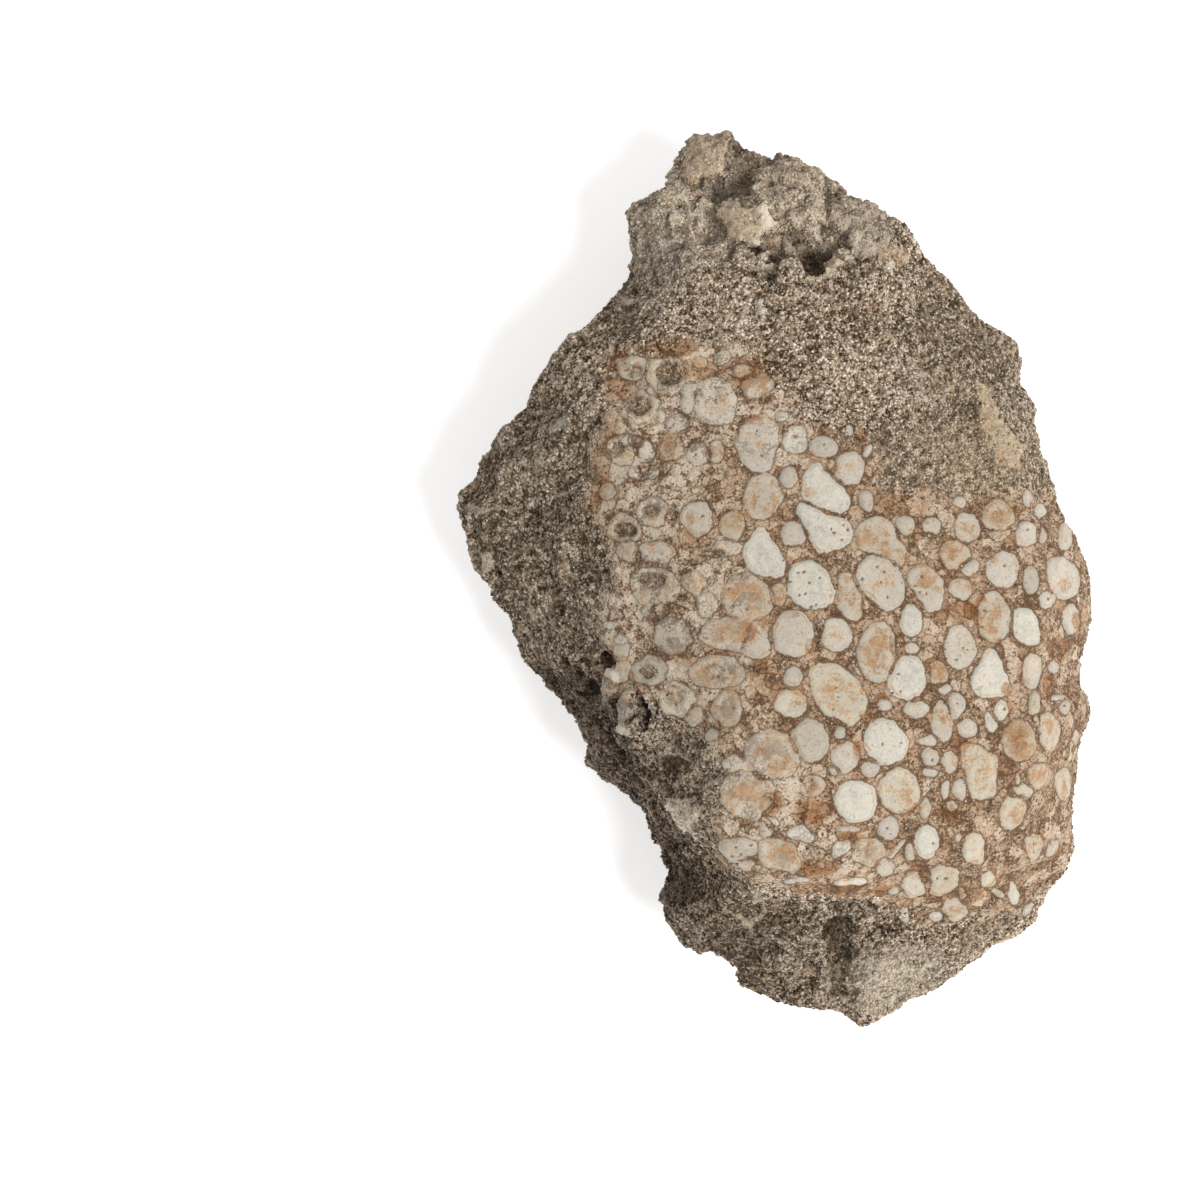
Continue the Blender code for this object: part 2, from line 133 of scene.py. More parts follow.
# %% List the round and oval cups
CUPS = {
    "A1": (715, 402, 23.5, 24, "pale"), "A2": (676, 424, 12, 11, "grey"),
    "A3": (688, 398, 9, 17, "grey"), "A4": (641, 409, 20, 19.5, "cream"),
    "A5": (667, 375, 21, 20, "cream"), "A6": (630, 368, 18, 13, "tan"),
    "A7": (615, 372, 5, 7, "pale"), "A8": (660, 415, 7, 9, "pale"),
    "A9": (622, 450, 14, 15, "cream"), "A10": (646, 452, 9, 11, "pale"),
    "A11": (635, 442, 8, 5, "pale"), "A12": (671, 447, 14, 15, "orange"),
    "A13": (697, 454, 11, 12.5, "pale"), "A14": (716, 452, 8, 12, "mottled"),
    "A15": (655, 472, 7, 7, "pale"), "A16": (636, 475, 8, 6, "pale"),
    "A17": (607, 491, 9, 9, "grey"), "A18": (700, 362, 8, 6, "cream"),
    "A19": (722, 357, 10, 8, "cream"), "A20": (745, 372, 14, 8, "cream"),
    "B1": (758, 444, 22, 29, "pale"), "B2": (794, 440, 13.5, 15.5, "white"),
    "B3": (823, 447, 14, 12, "lilac"), "B4": (850, 469, 16, 18, "pale"),
    "B6": (763, 497, 19.5, 24, "mottled"), "B7": (789, 477, 9, 12, "grey"),
    "B8": (783, 417, 9, 5, "pale"), "B9": (795, 414, 4, 9, "pale"), "B10": (868, 450, 4, 9, "pale"),
    "B11": (832, 465, 6, 6, "tan"), "B12": (757, 385, 17, 14, "mottled"),
    "B13": (850, 430, 4, 6, "pale"),
    "C1": (652, 513, 17, 15, "cream"), "C2": (624, 529, 18, 16, "tan"),
    "C4": (697, 519, 17, 19, "pale"), "C5": (733, 526, 14, 15, "orange"),
    "C6": (627, 550, 12, 11, "tan"), "C7": (657, 551, 19, 12, "pale"),
    "C8": (655, 586, 24, 20, "cream"), "C9": (693, 582, 12, 12, "tan"),
    "C10": (747, 598, 27, 25, "mottled"), "C11": (707, 606, 11, 12, "cream"),
    "C12": (730, 634, 30, 18, "mottled"), "C13": (672, 636, 18, 20, "grey"),
    "C14": (609, 625, 7, 4, "white"), "C15": (620, 640, 8, 7, "pale"),
    "C16": (728, 549, 14, 9, "pale"), "C17": (645, 612, 6, 5, "pale"),
    "D2": (793, 534, 13, 14, "lilac"), "D8": (793, 634, 22, 25, "pale"),
    "D9": (837, 635, 15.5, 18.5, "pale"), "D10": (779, 594, 8.5, 12, "tan"),
    "D11": (866, 501, 8, 11, "grey"), "D12": (877, 652, 20, 31, "mottled"),
    "E1": (906, 525, 10, 11, "grey"), "E2": (932, 526, 10.5, 9.5, "tan"),
    "E4": (911, 622, 11.5, 17, "white"), "E5": (960, 648, 17.5, 22, "pale"),
    "E6": (1003, 570, 18, 19, "pale"), "E7": (1027, 534, 12, 13, "pale"),
    "E8": (1042, 535, 5, 9, "grey"), "E9": (998, 516, 17, 16, "tan"),
    "E10": (967, 528, 14, 15, "tan"), "E11": (955, 555, 16, 15, "orange"),
    "E12": (970, 568, 10, 9, "pale"), "E13": (961, 589, 13, 11, "tan"),
    "E14": (994, 617, 17, 27, "mottled"), "E16": (1047, 600, 8.5, 9, "pale"),
    "E18": (1066, 536, 8, 15, "pale"), "E19": (1040, 511, 8, 7, "pale"),
    "E20": (1027, 499, 6, 9, "lilac"), "E21": (1031, 580, 9, 14, "grey"),
    "E22": (960, 502, 7, 6, "pale"),
    "F1": (622, 650, 9, 10, "grey"), "F2": (620, 671, 12, 12, "pale"),
    "F3": (650, 671, 18, 15, "grey"), "F4": (677, 699, 20, 18, "cream"),
    "F5": (718, 672, 28, 18, "mottled"), "F6": (727, 708, 16.5, 19, "tan"),
    "F7": (695, 716, 10, 11, "mottled"), "F8": (712, 735, 8, 7, "grey"),
    "F9": (735, 765, 14, 10, "pale"),
    "G1": (755, 640, 18, 20, "mottled"), "G3": (791, 703, 18, 15, "cream"),
    "G4": (793, 677, 10, 12, "grey"), "G6": (810, 741, 20, 22, "grey"),
    "G7": (840, 733, 7, 8.5, "lilac"), "G8": (845, 757, 15, 17, "pale"),
    "G9": (886, 742, 22.5, 24, "white"), "G10": (772, 755, 30, 25, "mottled"),
    "G11": (747, 795, 29, 25, "mottled"), "G12": (813, 786, 13, 12, "tan"),
    "G13": (856, 801, 22, 23, "white"), "G14": (870, 769, 10, 9, "lilac"),
    "G15": (835, 770, 6, 5, "pale"), "G16": (885, 705, 8, 7, "pale"),
    "H1": (908, 678, 20, 23, "white"), "H2": (917, 709, 14, 9, "pale"),
    "H3": (942, 722, 11, 22, "tan"), "H4": (956, 705, 9.5, 14, "pale"),
    "H6": (938, 674, 10, 14, "orange"), "H7": (944, 689, 8, 6, "pale"),
    "H9": (1001, 710, 7.5, 11, "white"), "H11": (968, 729, 10, 11, "pale"),
    "H12": (929, 741, 12, 6, "pale"), "H13": (930, 757, 9, 10, "lilac"),
    "H14": (950, 762, 8, 13, "tan"), "H16": (930, 772, 8, 5, "pale"),
    "H17": (899, 791, 22, 24, "cream"), "H18": (946, 790, 6, 11, "pale"),
    "H19": (958, 791, 9, 13, "pale"), "H20": (952, 803, 7, 8, "white"),
    "H21": (1019, 741, 17, 23, "orange"), "H22": (912, 648, 8, 7, "pale"),
    "J2": (1034, 704, 7.5, 12, "tan"), "J3": (1049, 731, 11, 20, "tan"),
    "J4": (1053, 667, 6, 7, "lilac"), "J6": (1059, 698, 9, 4, "pale"),
    "J7": (1065, 707, 6, 8, "lilac"), "J9": (1040, 776, 12.5, 14, "orange"),
    "J10": (1063, 784, 9, 18, "tan"), "J11": (1076, 737, 4, 9, "tan"),
    "J13": (1018, 780, 2.5, 8, "pale"), "J14": (1022, 792, 12, 8, "tan"),
    "K4": (745, 866, 11, 5, "cream"), "K5": (771, 820, 11, 4.5, "white"),
    "K8": (765, 829, 8, 8, "grey"), "K7": (796, 880, 13, 3.5, "white"),
    "L1": (849, 829, 13, 3.5, "lilac"), "L3": (868, 852, 18, 15, "tan"),
    "L4": (889, 828, 12, 13, "lilac"), "L5": (925, 808, 6, 12, "grey"),
    "L6": (926, 842, 13, 18, "white"), "L8": (910, 852, 7, 9, "lilac"),
    "L9": (885, 868, 10, 10, "grey"), "L11": (850, 882, 18, 4.5, "white"),
    "L12": (905, 915, 5, 9, "pale"), "L13": (936, 916, 7, 5, "white"),
    "L15": (962, 895, 4, 8, "pale"), "L16": (895, 892, 6, 5, "grey"),
    "M1": (958, 838, 5, 6, "pale"), "M6": (988, 880, 8, 9, "cream"), "M7": (998, 893, 8, 4, "pale"),
    "M8": (1028, 909, 9, 3.5, "lilac"),
}
# The few ovals that lie askew, in degrees
CUP_TURNS = {
    "A20": 10, "B9": 30, "B10": 30, "K4": -12, "K5": 41, "K7": -4, "L11": -5, "M7": 30, "M8": -47,
}
print(len(CUPS), "round and oval cups are listed")

# %% [markdown]
# ## Cups with corners
# Some tubes pressed on each other as they grew, and an oval would miss their corners. Each of
# these cups is its look and a few points round its wall, through which a curve is drawn later.

# %% List the cups with corners
CORNERED_CUPS = {
    "B5": ("white", [
        (806, 470), (818, 462), (828, 470), (836, 480), (848, 492), (851, 502), (847, 512),
        (838, 515), (825, 511), (812, 505), (803, 498), (800, 488), (803, 478)]),
    "D1": ("white", [
        (797, 505), (803, 502), (812, 506), (825, 512), (838, 516), (848, 520), (853, 530),
        (852, 541), (845, 549), (833, 552), (818, 553), (811, 545), (807, 535), (803, 525),
        (797, 514)]),
    "D3": ("white", [
        (763, 527), (770, 533), (776, 545), (784, 556), (787, 568), (780, 578), (768, 578),
        (752, 573), (744, 562), (744, 550), (748, 540), (755, 532)]),
    "D4": ("white", [
        (795, 562), (810, 558), (822, 566), (831, 578), (836, 592), (833, 602), (820, 610),
        (808, 611), (794, 604), (788, 592), (787, 578), (790, 568)]),
    "D5": ("tan", [
        (838, 575), (850, 572), (857, 585), (862, 600), (862, 615), (855, 622), (845, 618),
        (838, 608), (838, 590)]),
    "D6": ("pale", [
        (855, 570), (862, 560), (873, 555), (883, 557), (895, 565), (903, 577), (906, 590),
        (903, 603), (893, 612), (885, 612), (872, 600), (862, 592), (856, 582)]),
    "D7": ("tan", [
        (857, 524), (868, 518), (882, 516), (893, 524), (898, 537), (905, 548), (906, 560),
        (900, 566), (888, 558), (872, 553), (861, 549), (856, 538)]),
    "E3": ("mottled", [
        (920, 563), (932, 568), (943, 580), (945, 597), (940, 609), (930, 612), (922, 605),
        (915, 595), (907, 585), (907, 575)]),
    "E15": ("white", [
        (1013, 612), (1020, 606), (1030, 607), (1038, 617), (1041, 630), (1040, 643), (1030, 647),
        (1018, 642), (1013, 632), (1011, 622)]),
    "E23": ("pale", [
        (1047, 560), (1057, 556), (1067, 558), (1076, 566), (1080, 580), (1078, 593), (1068, 600),
        (1058, 598), (1048, 585), (1045, 572)]),
    "E17": ("pale", [
        (1065, 606), (1073, 603), (1078, 612), (1081, 625), (1075, 633), (1068, 634), (1062, 625),
        (1062, 613)]),
    "G5": ("cream", [
        (810, 668), (820, 663), (833, 662), (845, 668), (857, 676), (864, 690), (868, 702),
        (863, 715), (855, 725), (848, 727), (838, 720), (826, 716), (817, 705), (811, 690),
        (809, 678)]),
    "H8": ("white", [
        (987, 648), (992, 648), (998, 655), (1003, 663), (1010, 680), (1012, 690), (1003, 697),
        (990, 699), (980, 697), (973, 690), (970, 680), (975, 668), (982, 655)]),
    "H10": ("white", [
        (988, 710), (995, 718), (999, 726), (993, 733), (986, 728), (984, 716)]),
    "H15": ("cream", [
        (962, 745), (970, 742), (980, 745), (990, 752), (998, 757), (999, 775), (997, 790),
        (992, 800), (978, 800), (970, 795), (966, 780), (962, 768), (960, 755)]),
    "J1": ("pale", [
        (1026, 656), (1034, 653), (1040, 658), (1041, 672), (1039, 684), (1034, 689), (1028, 688),
        (1023, 682), (1022, 668)]),
    "K2": ("grey", [
        (717, 842), (725, 838), (745, 836), (757, 842), (757, 852), (752, 858), (740, 860),
        (733, 864), (727, 862), (720, 855)]),
    "K3": ("mottled", [
        (759, 843), (775, 838), (790, 842), (797, 852), (801, 865), (795, 872), (780, 871),
        (765, 866), (759, 858)]),
    "K6": ("white", [
        (786, 832), (793, 826), (803, 823), (810, 828), (815, 836), (817, 842), (810, 843),
        (800, 840), (790, 838)]),
    "L2": ("white", [
        (831, 852), (838, 843), (848, 841), (858, 845), (858, 852), (848, 854), (838, 858),
        (832, 858)]),
    "L7": ("pale", [
        (888, 858), (893, 850), (903, 840), (907, 842), (900, 852), (892, 860)]),
    "L17": ("cream", [
        (930, 875), (934, 866), (945, 864), (957, 868), (960, 876), (956, 887), (948, 894),
        (937, 897), (930, 893), (932, 884)]),
    "L10": ("pale", [
        (903, 880), (907, 872), (915, 871), (921, 878), (925, 888), (923, 896), (915, 899),
        (907, 897), (901, 890)]),
    "L14": ("tan", [
        (942, 905), (948, 898), (962, 898), (968, 905), (965, 918), (952, 921), (943, 913)]),
    "M9": ("cream", [
        (963, 840), (970, 834), (980, 833), (984, 840), (985, 852), (982, 862), (975, 866),
        (966, 862), (962, 853)]),
    "M2": ("tan", [
        (1003, 800), (1012, 792), (1022, 793), (1027, 800), (1027, 812), (1022, 824), (1012, 831),
        (1002, 826), (1000, 814)]),
    "M3": ("tan", [
        (1026, 838), (1034, 833), (1042, 837), (1044, 845), (1040, 855), (1032, 861), (1027, 855),
        (1025, 846)]),
    "M4": ("grey", [
        (1045, 852), (1050, 842), (1058, 840), (1060, 848), (1054, 857), (1048, 858)]),
    "M5": ("white", [
        (1008, 888), (1012, 882), (1017, 887), (1020, 897), (1018, 904), (1013, 905), (1009, 898)]),
}
print(len(CORNERED_CUPS), "cups with corners are listed")

# %% [markdown]
# ## Hollow middles
# Many cups on the north-west side have lost their middle: a pale ring stands round a brown pit.
# A pit is soft-edged, so one oval is enough for it: centre, half widths and strength. It has the
# name of its cup.

# %% List the hollow middles
HOLLOWS = {
    "A4": (637, 405, 15, 12, 1.0), "A5": (670, 373, 15, 14, 1.0), "A6": (634, 371, 11, 8, 0.8),
    "A9": (618, 448, 8, 7, 1.0), "A16": (639, 476, 2.5, 3, 0.6),
    "C1": (650, 510, 10, 8, 0.8), "C2": (625, 530, 13, 9, 1.0), "C8": (652, 580, 16, 10, 0.9),
    "C11": (707, 606, 6, 7, 0.3),
    "E9": (1000, 515, 9, 8, 0.5),
    "F3": (648, 671, 10, 9, 0.9), "F4": (672, 695, 13, 13, 0.7), "F5": (720, 672, 19, 12, 0.6),
    "F6": (727, 708, 8, 12, 0.4),
    "G3": (795, 705, 10, 6, 0.35), "G12": (809, 785, 7, 9, 0.8),
    "L3": (862, 850, 13, 10, 0.6),
    "M3": (1034, 847, 6, 9, 0.5),
}
print(len(HOLLOWS), "hollow middles are listed")

# %% [markdown]
# ## Rust stains
# Iron carried by ground water has stained the coral orange in blotches, in the cups and between
# them. They could be left to a random pattern, but the eye knows the large ones by their place.
# So each is an oval too, named for the cup, the block, the side or the border band that it is in.

# %% List the rust stains
STAINS = {
    "band 1": (668, 347, 30, 12, 0.95), "band 2": (618, 372, 14, 28, 0.8),
    "band 3": (752, 372, 24, 22, 0.8),
    "north": (705, 368, 30, 12, 0.6),
    "west 4": (608, 420, 12, 30, 0.55),
    "south 1": (770, 690, 16, 12, 0.6),
    "east 4": (905, 505, 30, 12, 0.6), "east 5": (960, 745, 16, 14, 0.6),
    "A1": (721, 395, 8, 12, 0.6), "A12": (671, 447, 12, 13, 0.7),
    "B1": (754, 421, 11, 7, 0.8), "B2": (795, 437, 3.5, 3.5, 1.0), "B5": (811, 493, 7, 6, 0.6),
    "B10": (862, 436, 6, 8, 0.9),
    "C4": (690, 518, 5, 9, 0.8), "C5": (733, 522, 12, 9, 0.7), "C10": (741, 588, 13, 9, 0.7),
    "C10 low": (752, 612, 9, 6, 0.7), "C12": (746, 632, 12, 12, 0.8),
    "D5": (851, 600, 5, 15, 0.9), "D8 top": (791, 615, 9, 5, 0.8), "D8 low": (811, 646, 7, 9, 0.8),
    "D12": (868, 646, 8, 10, 0.8),
    "E3": (934, 587, 5, 12, 0.8), "E11": (955, 555, 14, 13, 0.6), "E13": (962, 612, 18, 13, 1.0),
    "E14": (981, 608, 8, 15, 0.9), "E23": (1063, 586, 8, 9, 0.7), "E17": (1075, 620, 5, 10, 0.9),
    "F7": (695, 712, 6, 9, 0.7),
    "G2": (761, 674, 14, 13, 0.9), "G3": (796, 705, 10, 6, 0.8), "G8": (857, 752, 5, 13, 0.8),
    "G10": (778, 764, 13, 9, 0.9), "G11": (760, 788, 12, 9, 0.8), "G16": (881, 697, 9, 5, 0.9),
    "H8": (1005, 688, 5, 6, 0.9), "H15": (967, 770, 5, 9, 0.7), "H15 low": (990, 786, 5, 8, 0.8),
    "H21": (1019, 745, 15, 18, 0.8),
    "J9": (1044, 772, 10, 11, 0.6), "J5": (1050, 686, 8, 12, 1.0),
    "K1": (770, 803, 13, 14, 1.0), "K2": (815, 811, 22, 12, 1.0), "K3": (786, 856, 11, 14, 0.9),
    "K4": (818, 868, 22, 10, 1.0), "K5": (820, 890, 30, 7, 0.9),
    "L1": (868, 890, 26, 7, 0.9), "L2": (850, 838, 16, 6, 0.8), "L3": (918, 872, 14, 9, 0.9),
    "L4": (948, 814, 13, 12, 0.9), "L5": (910, 805, 8, 9, 0.7), "L6": (970, 895, 15, 11, 0.8),
    "M2": (1013, 818, 10, 9, 0.6),
    "east 1": (1060, 650, 14, 14, 0.7), "east 2": (965, 545, 22, 22, 0.5),
    "east 3": (1005, 765, 20, 20, 0.5),
    "west 1": (600, 470, 12, 40, 0.5), "west 2": (690, 545, 30, 18, 0.6),
    "west 3": (700, 655, 40, 14, 0.5),
}
print(len(STAINS), "rust stains are listed")

# %% [markdown]
# ## Dark sand
# Between some cups the filling has weathered out, and dark sand lies in the pocket.

# %% List the pockets of dark sand
DARK_SAND = {
    "A1": (645, 425, 8, 7, 0.5),
    "B1": (740, 405, 9, 7, 0.4),
    "C1": (673, 512, 5, 11, 0.9), "C2": (712, 553, 15, 6, 1.0), "C3": (690, 562, 12, 5, 0.9),
    "C4": (702, 545, 9, 5, 0.7), "C5": (711, 580, 6, 5, 0.8), "C6": (679, 597, 8, 5, 0.9),
    "C7": (685, 627, 6, 10, 0.8), "C8": (657, 615, 6, 6, 0.6),
    "D1": (848, 560, 8, 7, 0.8), "D2": (820, 558, 9, 5, 0.8), "D3": (818, 632, 4, 20, 0.9),
    "D4": (795, 514, 4, 5, 0.7), "D5": (742, 576, 7, 6, 0.8), "D6": (766, 628, 5, 9, 0.7),
    "D7": (835, 611, 6, 5, 0.7), "D8": (893, 640, 5, 20, 0.6),
    "E1": (988, 548, 6, 5, 0.8),
    "F1": (752, 668, 8, 6, 0.9), "F2": (775, 722, 12, 6, 0.6),
    "G1": (768, 797, 6, 6, 0.8), "G2": (829, 720, 8, 4, 0.5),
    "H1": (943, 700, 5, 5, 0.7), "H2": (980, 690, 8, 6, 0.5), "H3": (975, 710, 7, 7, 0.8),
    "H4": (933, 789, 5, 10, 0.8), "H5": (917, 765, 8, 6, 0.8),
    "J1": (1044, 752, 7, 7, 0.7), "J2": (1024, 775, 5, 5, 0.8),
    "K1": (749, 810, 9, 8, 0.6), "K2": (750, 832, 10, 7, 0.5), "K3": (811, 857, 11, 15, 0.7),
    "L1": (868, 858, 12, 9, 0.6), "L2": (911, 827, 9, 9, 0.8), "L3": (955, 852, 8, 12, 0.8),
    "L4": (970, 873, 12, 9, 0.7),
    "M1": (1018, 838, 7, 10, 0.9), "M2": (1005, 846, 8, 8, 0.6), "M3": (990, 806, 7, 12, 0.7),
    "M4": (1040, 812, 12, 12, 0.5), "M5": (1005, 870, 8, 8, 0.4),
}
print(len(DARK_SAND), "pockets of dark sand are listed")

# %% [markdown]
# ## Milky calcite
# Most of all in the north-west and the south-west, new calcite has grown over walls and filling
# alike, so the cups fade into what lies between them. A few wide ovals say where, and how much.

# %% List the milky places
MILKY = {
    "north-west 1": (655, 440, 60, 60, 1.0), "north-west 2": (700, 380, 60, 45, 1.0),
    "west 1": (640, 540, 45, 55, 0.9), "west 2": (640, 620, 45, 50, 1.0),
    "west 3": (700, 600, 60, 60, 0.8), "middle": (700, 680, 60, 50, 0.6),
    "north": (770, 420, 50, 40, 0.7), "south-west": (750, 790, 55, 60, 0.75),
    "south": (810, 855, 60, 30, 0.5),
}
print(len(MILKY), "milky places are listed")

# %% [markdown]
# ## Specks
# Dark specks, pores filled with clay and a third of a millimetre wide, stand out in the whitest
# cups. They are all alike, so only their places are listed.

# %% List the specks
SPECK_WIDTH = 3.2
SPECKS = [
    (716, 400), (757, 431), (762, 456), (795, 437), (787, 431), (824, 445), (703, 516),
    (729, 589), (733, 606), (747, 610), (831, 529), (834, 533), (843, 525), (847, 530),
    (842, 540), (798, 573), (804, 572), (820, 578), (790, 582), (809, 583), (799, 595),
    (805, 594), (816, 605), (811, 607), (877, 567), (884, 572), (881, 582), (887, 597),
    (862, 579), (921, 577), (915, 586), (919, 593), (926, 594), (963, 648), (967, 650),
    (956, 660), (1004, 566), (985, 567), (1027, 530), (984, 611), (982, 627), (1048, 599),
    (770, 650), (882, 744), (901, 743), (836, 688), (838, 697), (833, 710), (898, 674),
    (900, 692), (957, 704), (1004, 709), (932, 760), (887, 828), (767, 826), (736, 847),
    (751, 845), (741, 854), (732, 856), (933, 843), (937, 878), (946, 878), (830, 773),
    (727, 770), (1064, 706), (670, 428), (696, 455), (783, 722),
]
print(len(SPECKS), "specks are listed")

# %% [markdown]
# ## Broken faces of the matrix
# The rest of the lump is limestone made of sand-sized shell and calcite grains. Some of its broken
# faces are smooth, and some are paler or darker. They could be painted on an image, but an image
# needs a map of the surface. An outline needs only its corners, and is easily changed by hand.
# So each face is listed in mm, in the same plan as the CAD solid: its colour, how strongly that
# covers, how smooth the face is, how far it stands out of the stone, and its corners.

# %% List the broken faces
FACES = {
    "tan facet": ("B7A18A", 0.7, 0.85, 0.0, [
        (-10, 45.4), (-9.7, 50.5), (-9, 51.2), (-4.3, 51.6), (-5, 48.5), (-5.4, 46)]),
    # The steep slope is painted dark brown: painted shade on a side that faces away from the light.
    "steep slope": ("5F4E3C", 0.5, 0.0, -0.2, [
        (-4.3, 51.4), (-2.6, 51), (-1.6, 48.5), (-1, 46), (-2.5, 45.5), (-5, 46), (-4.8, 48.5)]),
    "facet foot": ("6E5D4A", 0.5, 0.0, -0.7, [
        (-10.2, 45.2), (-5.5, 46), (-4.5, 45.2), (-6, 43.2), (-9.5, 43.8)]),
    "grey hollow": ("98928A", 0.35, 0.2, -0.3, [
        (-7, 45), (-2.5, 46), (-3, 43.5), (-3.5, 42), (-6, 42.3)]),
    "north-west lobe": ("B4A999", 0.35, 0.0, 0.3, [
        (-15, 41.5), (-14, 44.5), (-11, 45.5), (-8.5, 44.5), (-7.5, 42), (-12, 41)]),
    "upper slab": ("B3A28C", 0.5, 0.4, 0.7, [
        (-2.2, 46.6), (1.5, 46.9), (4.6, 47.2), (5.6, 45.6), (4.2, 44.2), (1.6, 45.2),
        (-1.8, 45.4)]),
    "upper slab edge": ("C9BCA9", 0.6, 0.3, 0.5, [
        (4.2, 44.3), (5.6, 45.6), (6.2, 43.6), (5.2, 40.6), (4.3, 40.4), (4.6, 42.6)]),
    "granular bump": ("B9AB99", 0.4, 0.0, 0.5, [
        (-1.6, 44.9), (1.6, 44.8), (4.2, 43.8), (4.3, 40.6), (1.5, 39.9), (0.2, 41.4),
        (-1.6, 42.6)]),
    "east knob": ("978B7C", 0.45, 0.3, 0.9, [
        (6.4, 43.2), (9.4, 43.6), (12.4, 41.2), (13.6, 38.4), (12.2, 37.3), (8.8, 38.4),
        (6.9, 40.2)]),
    "tan slab": ("B6A38A", 0.75, 0.9, 0.35, [
        (-6.5, 41.8), (-1, 42.3), (0, 40.5), (-0.2, 39.4), (-2.7, 37.6), (-5, 38.4)]),
    "slab edge": ("D6C9B5", 0.75, 0.6, 0.3, [
        (-1, 42.4), (0.1, 40.5), (1.3, 40.2), (0, 39.2), (-2.6, 37.1), (-2.9, 37.8), (-1.1, 39.3),
        (-1.7, 41.6)]),
    # The cavity is painted dark brown: painted shadow in the cavity.
    "cavity": ("4B3B2C", 0.60, 0.0, -0.9, [
        (-2.4, 37.1), (-1.2, 38.3), (1.2, 39.2), (3.6, 39.3), (5.2, 38.2), (6.2, 36.4), (5.6, 34.3),
        (4.0, 35.0), (2.2, 35.9), (0.2, 36.3)]),
    "cavity ridge": ("B3A490", 0.7, 0.2, 0.9, [
        (3.4, 39.5), (4.6, 39.8), (5.6, 38.3), (7.4, 37.4), (8.8, 37.3), (8.6, 36.7), (6.8, 36.9),
        (5.2, 37.6), (4.2, 38.6)]),
    "shell lip": ("C9B89F", 0.8, 0.8, 0.1, [
        (2.6, 34.6), (5.0, 33.2), (7.2, 34.4), (8.0, 36.4), (6.6, 36.6), (5.4, 34.4), (4.2, 34.3)]),
    "cup below cavity": ("7A6852", 0.6, 0.4, -0.25, [
        (2.2, 35.6), (5.4, 34.2), (6.4, 36.2), (4.0, 36.4)]),
    "orange chip": ("BFA68B", 0.7, 0.6, 0.35, [
        (11.5, 37.4), (15.3, 37.7), (15.4, 35.5), (12.8, 34.8), (11.7, 35.8)]),
    "green streak": ("B5A07C", 0.3, 0.0, 0.0, [
        (-17.8, 31.5), (-16, 31), (-16.4, 26.5), (-17.8, 26.5)]),
    "beige fragment": ("BCA88C", 0.80, 0.9, 0.25, [
        (22.9, 22.2), (24.1, 21.8), (25.8, 18.2), (28.2, 14.6), (27.9, 12.0), (24.9, 12.7),
        (23.2, 17)]),
    "calcite lump": ("C6B9A5", 0.85, 0.75, 0.9, [
        (-14, -24.3), (-9.4, -24.8), (-8.3, -26), (-8.5, -28), (-10, -28.5), (-13.7, -26.8)]),
    "south lip": ("B9A78F", 0.8, 0.6, 0.5, [
        (-5.4, -37.6), (-4, -38.6), (-2.5, -39.5), (-1, -38.6), (-0.6, -37.2), (-1.4, -37.9),
        (-2.6, -38.5), (-4.2, -37.9)]),
    "south-east facet": ("C4B7A2", 0.5, 0.15, 0.0, [
        (10, -46), (11, -43.5), (15, -42.4), (19, -42), (20, -43.5), (17, -46.5), (12, -50.2),
        (10, -49.5)]),
    # The south-east strip is tan sand, and its paleness is partly painted light, on the side that
    # faces the light.
    "south-east strip": ("B8A183", 0.45, 0.2, 0.0, [
        (20, -44), (25, -41.8), (29, -38), (31.5, -33), (33.5, -28), (34.5, -21), (32.8, -21),
        (31, -28), (28.5, -33.5), (25.5, -38), (22, -40.5)]),
    # The rim groove and the south groove are painted dark brown: painted shade in the grooves.
    "rim groove": ("4E3D2C", 0.7, 0.0, -0.7, [
        (22.4, -39.9), (23.3, -39.6), (26, -36), (25.4, -35.4), (23.2, -38.2)]),
    "south groove": ("54432F", 0.45, 0.0, -0.4, [
        (6.2, -38.5), (8.6, -38.5), (8.6, -44), (8.3, -48), (7, -48.5), (6.4, -44)]),
    # The dark wall is dark brown beds and also painted shade, for the south-west side that faces away
    # from the light.
    "dark wall": ("4B3A28", 0.60, 0.0, 0.0, [
        (-31, -9.5), (-25, -10.8), (-21, -11.3), (-19, -12.4), (-15.3, -18), (-15.3, -22),
        (-14.8, -25), (-14, -27), (-10.8, -28.8), (-9.6, -33), (-8, -36), (-14, -42), (-32, -26)]),
}
print(len(FACES), "broken faces are listed")

# %% [markdown]
# ## Chips, pebbles and holes
# Shell chips, pebbles and holes are too small for corners. Each is an oval in mm: its colour, how
# strongly that covers, its height or depth, its middle, its two half widths and its turn.

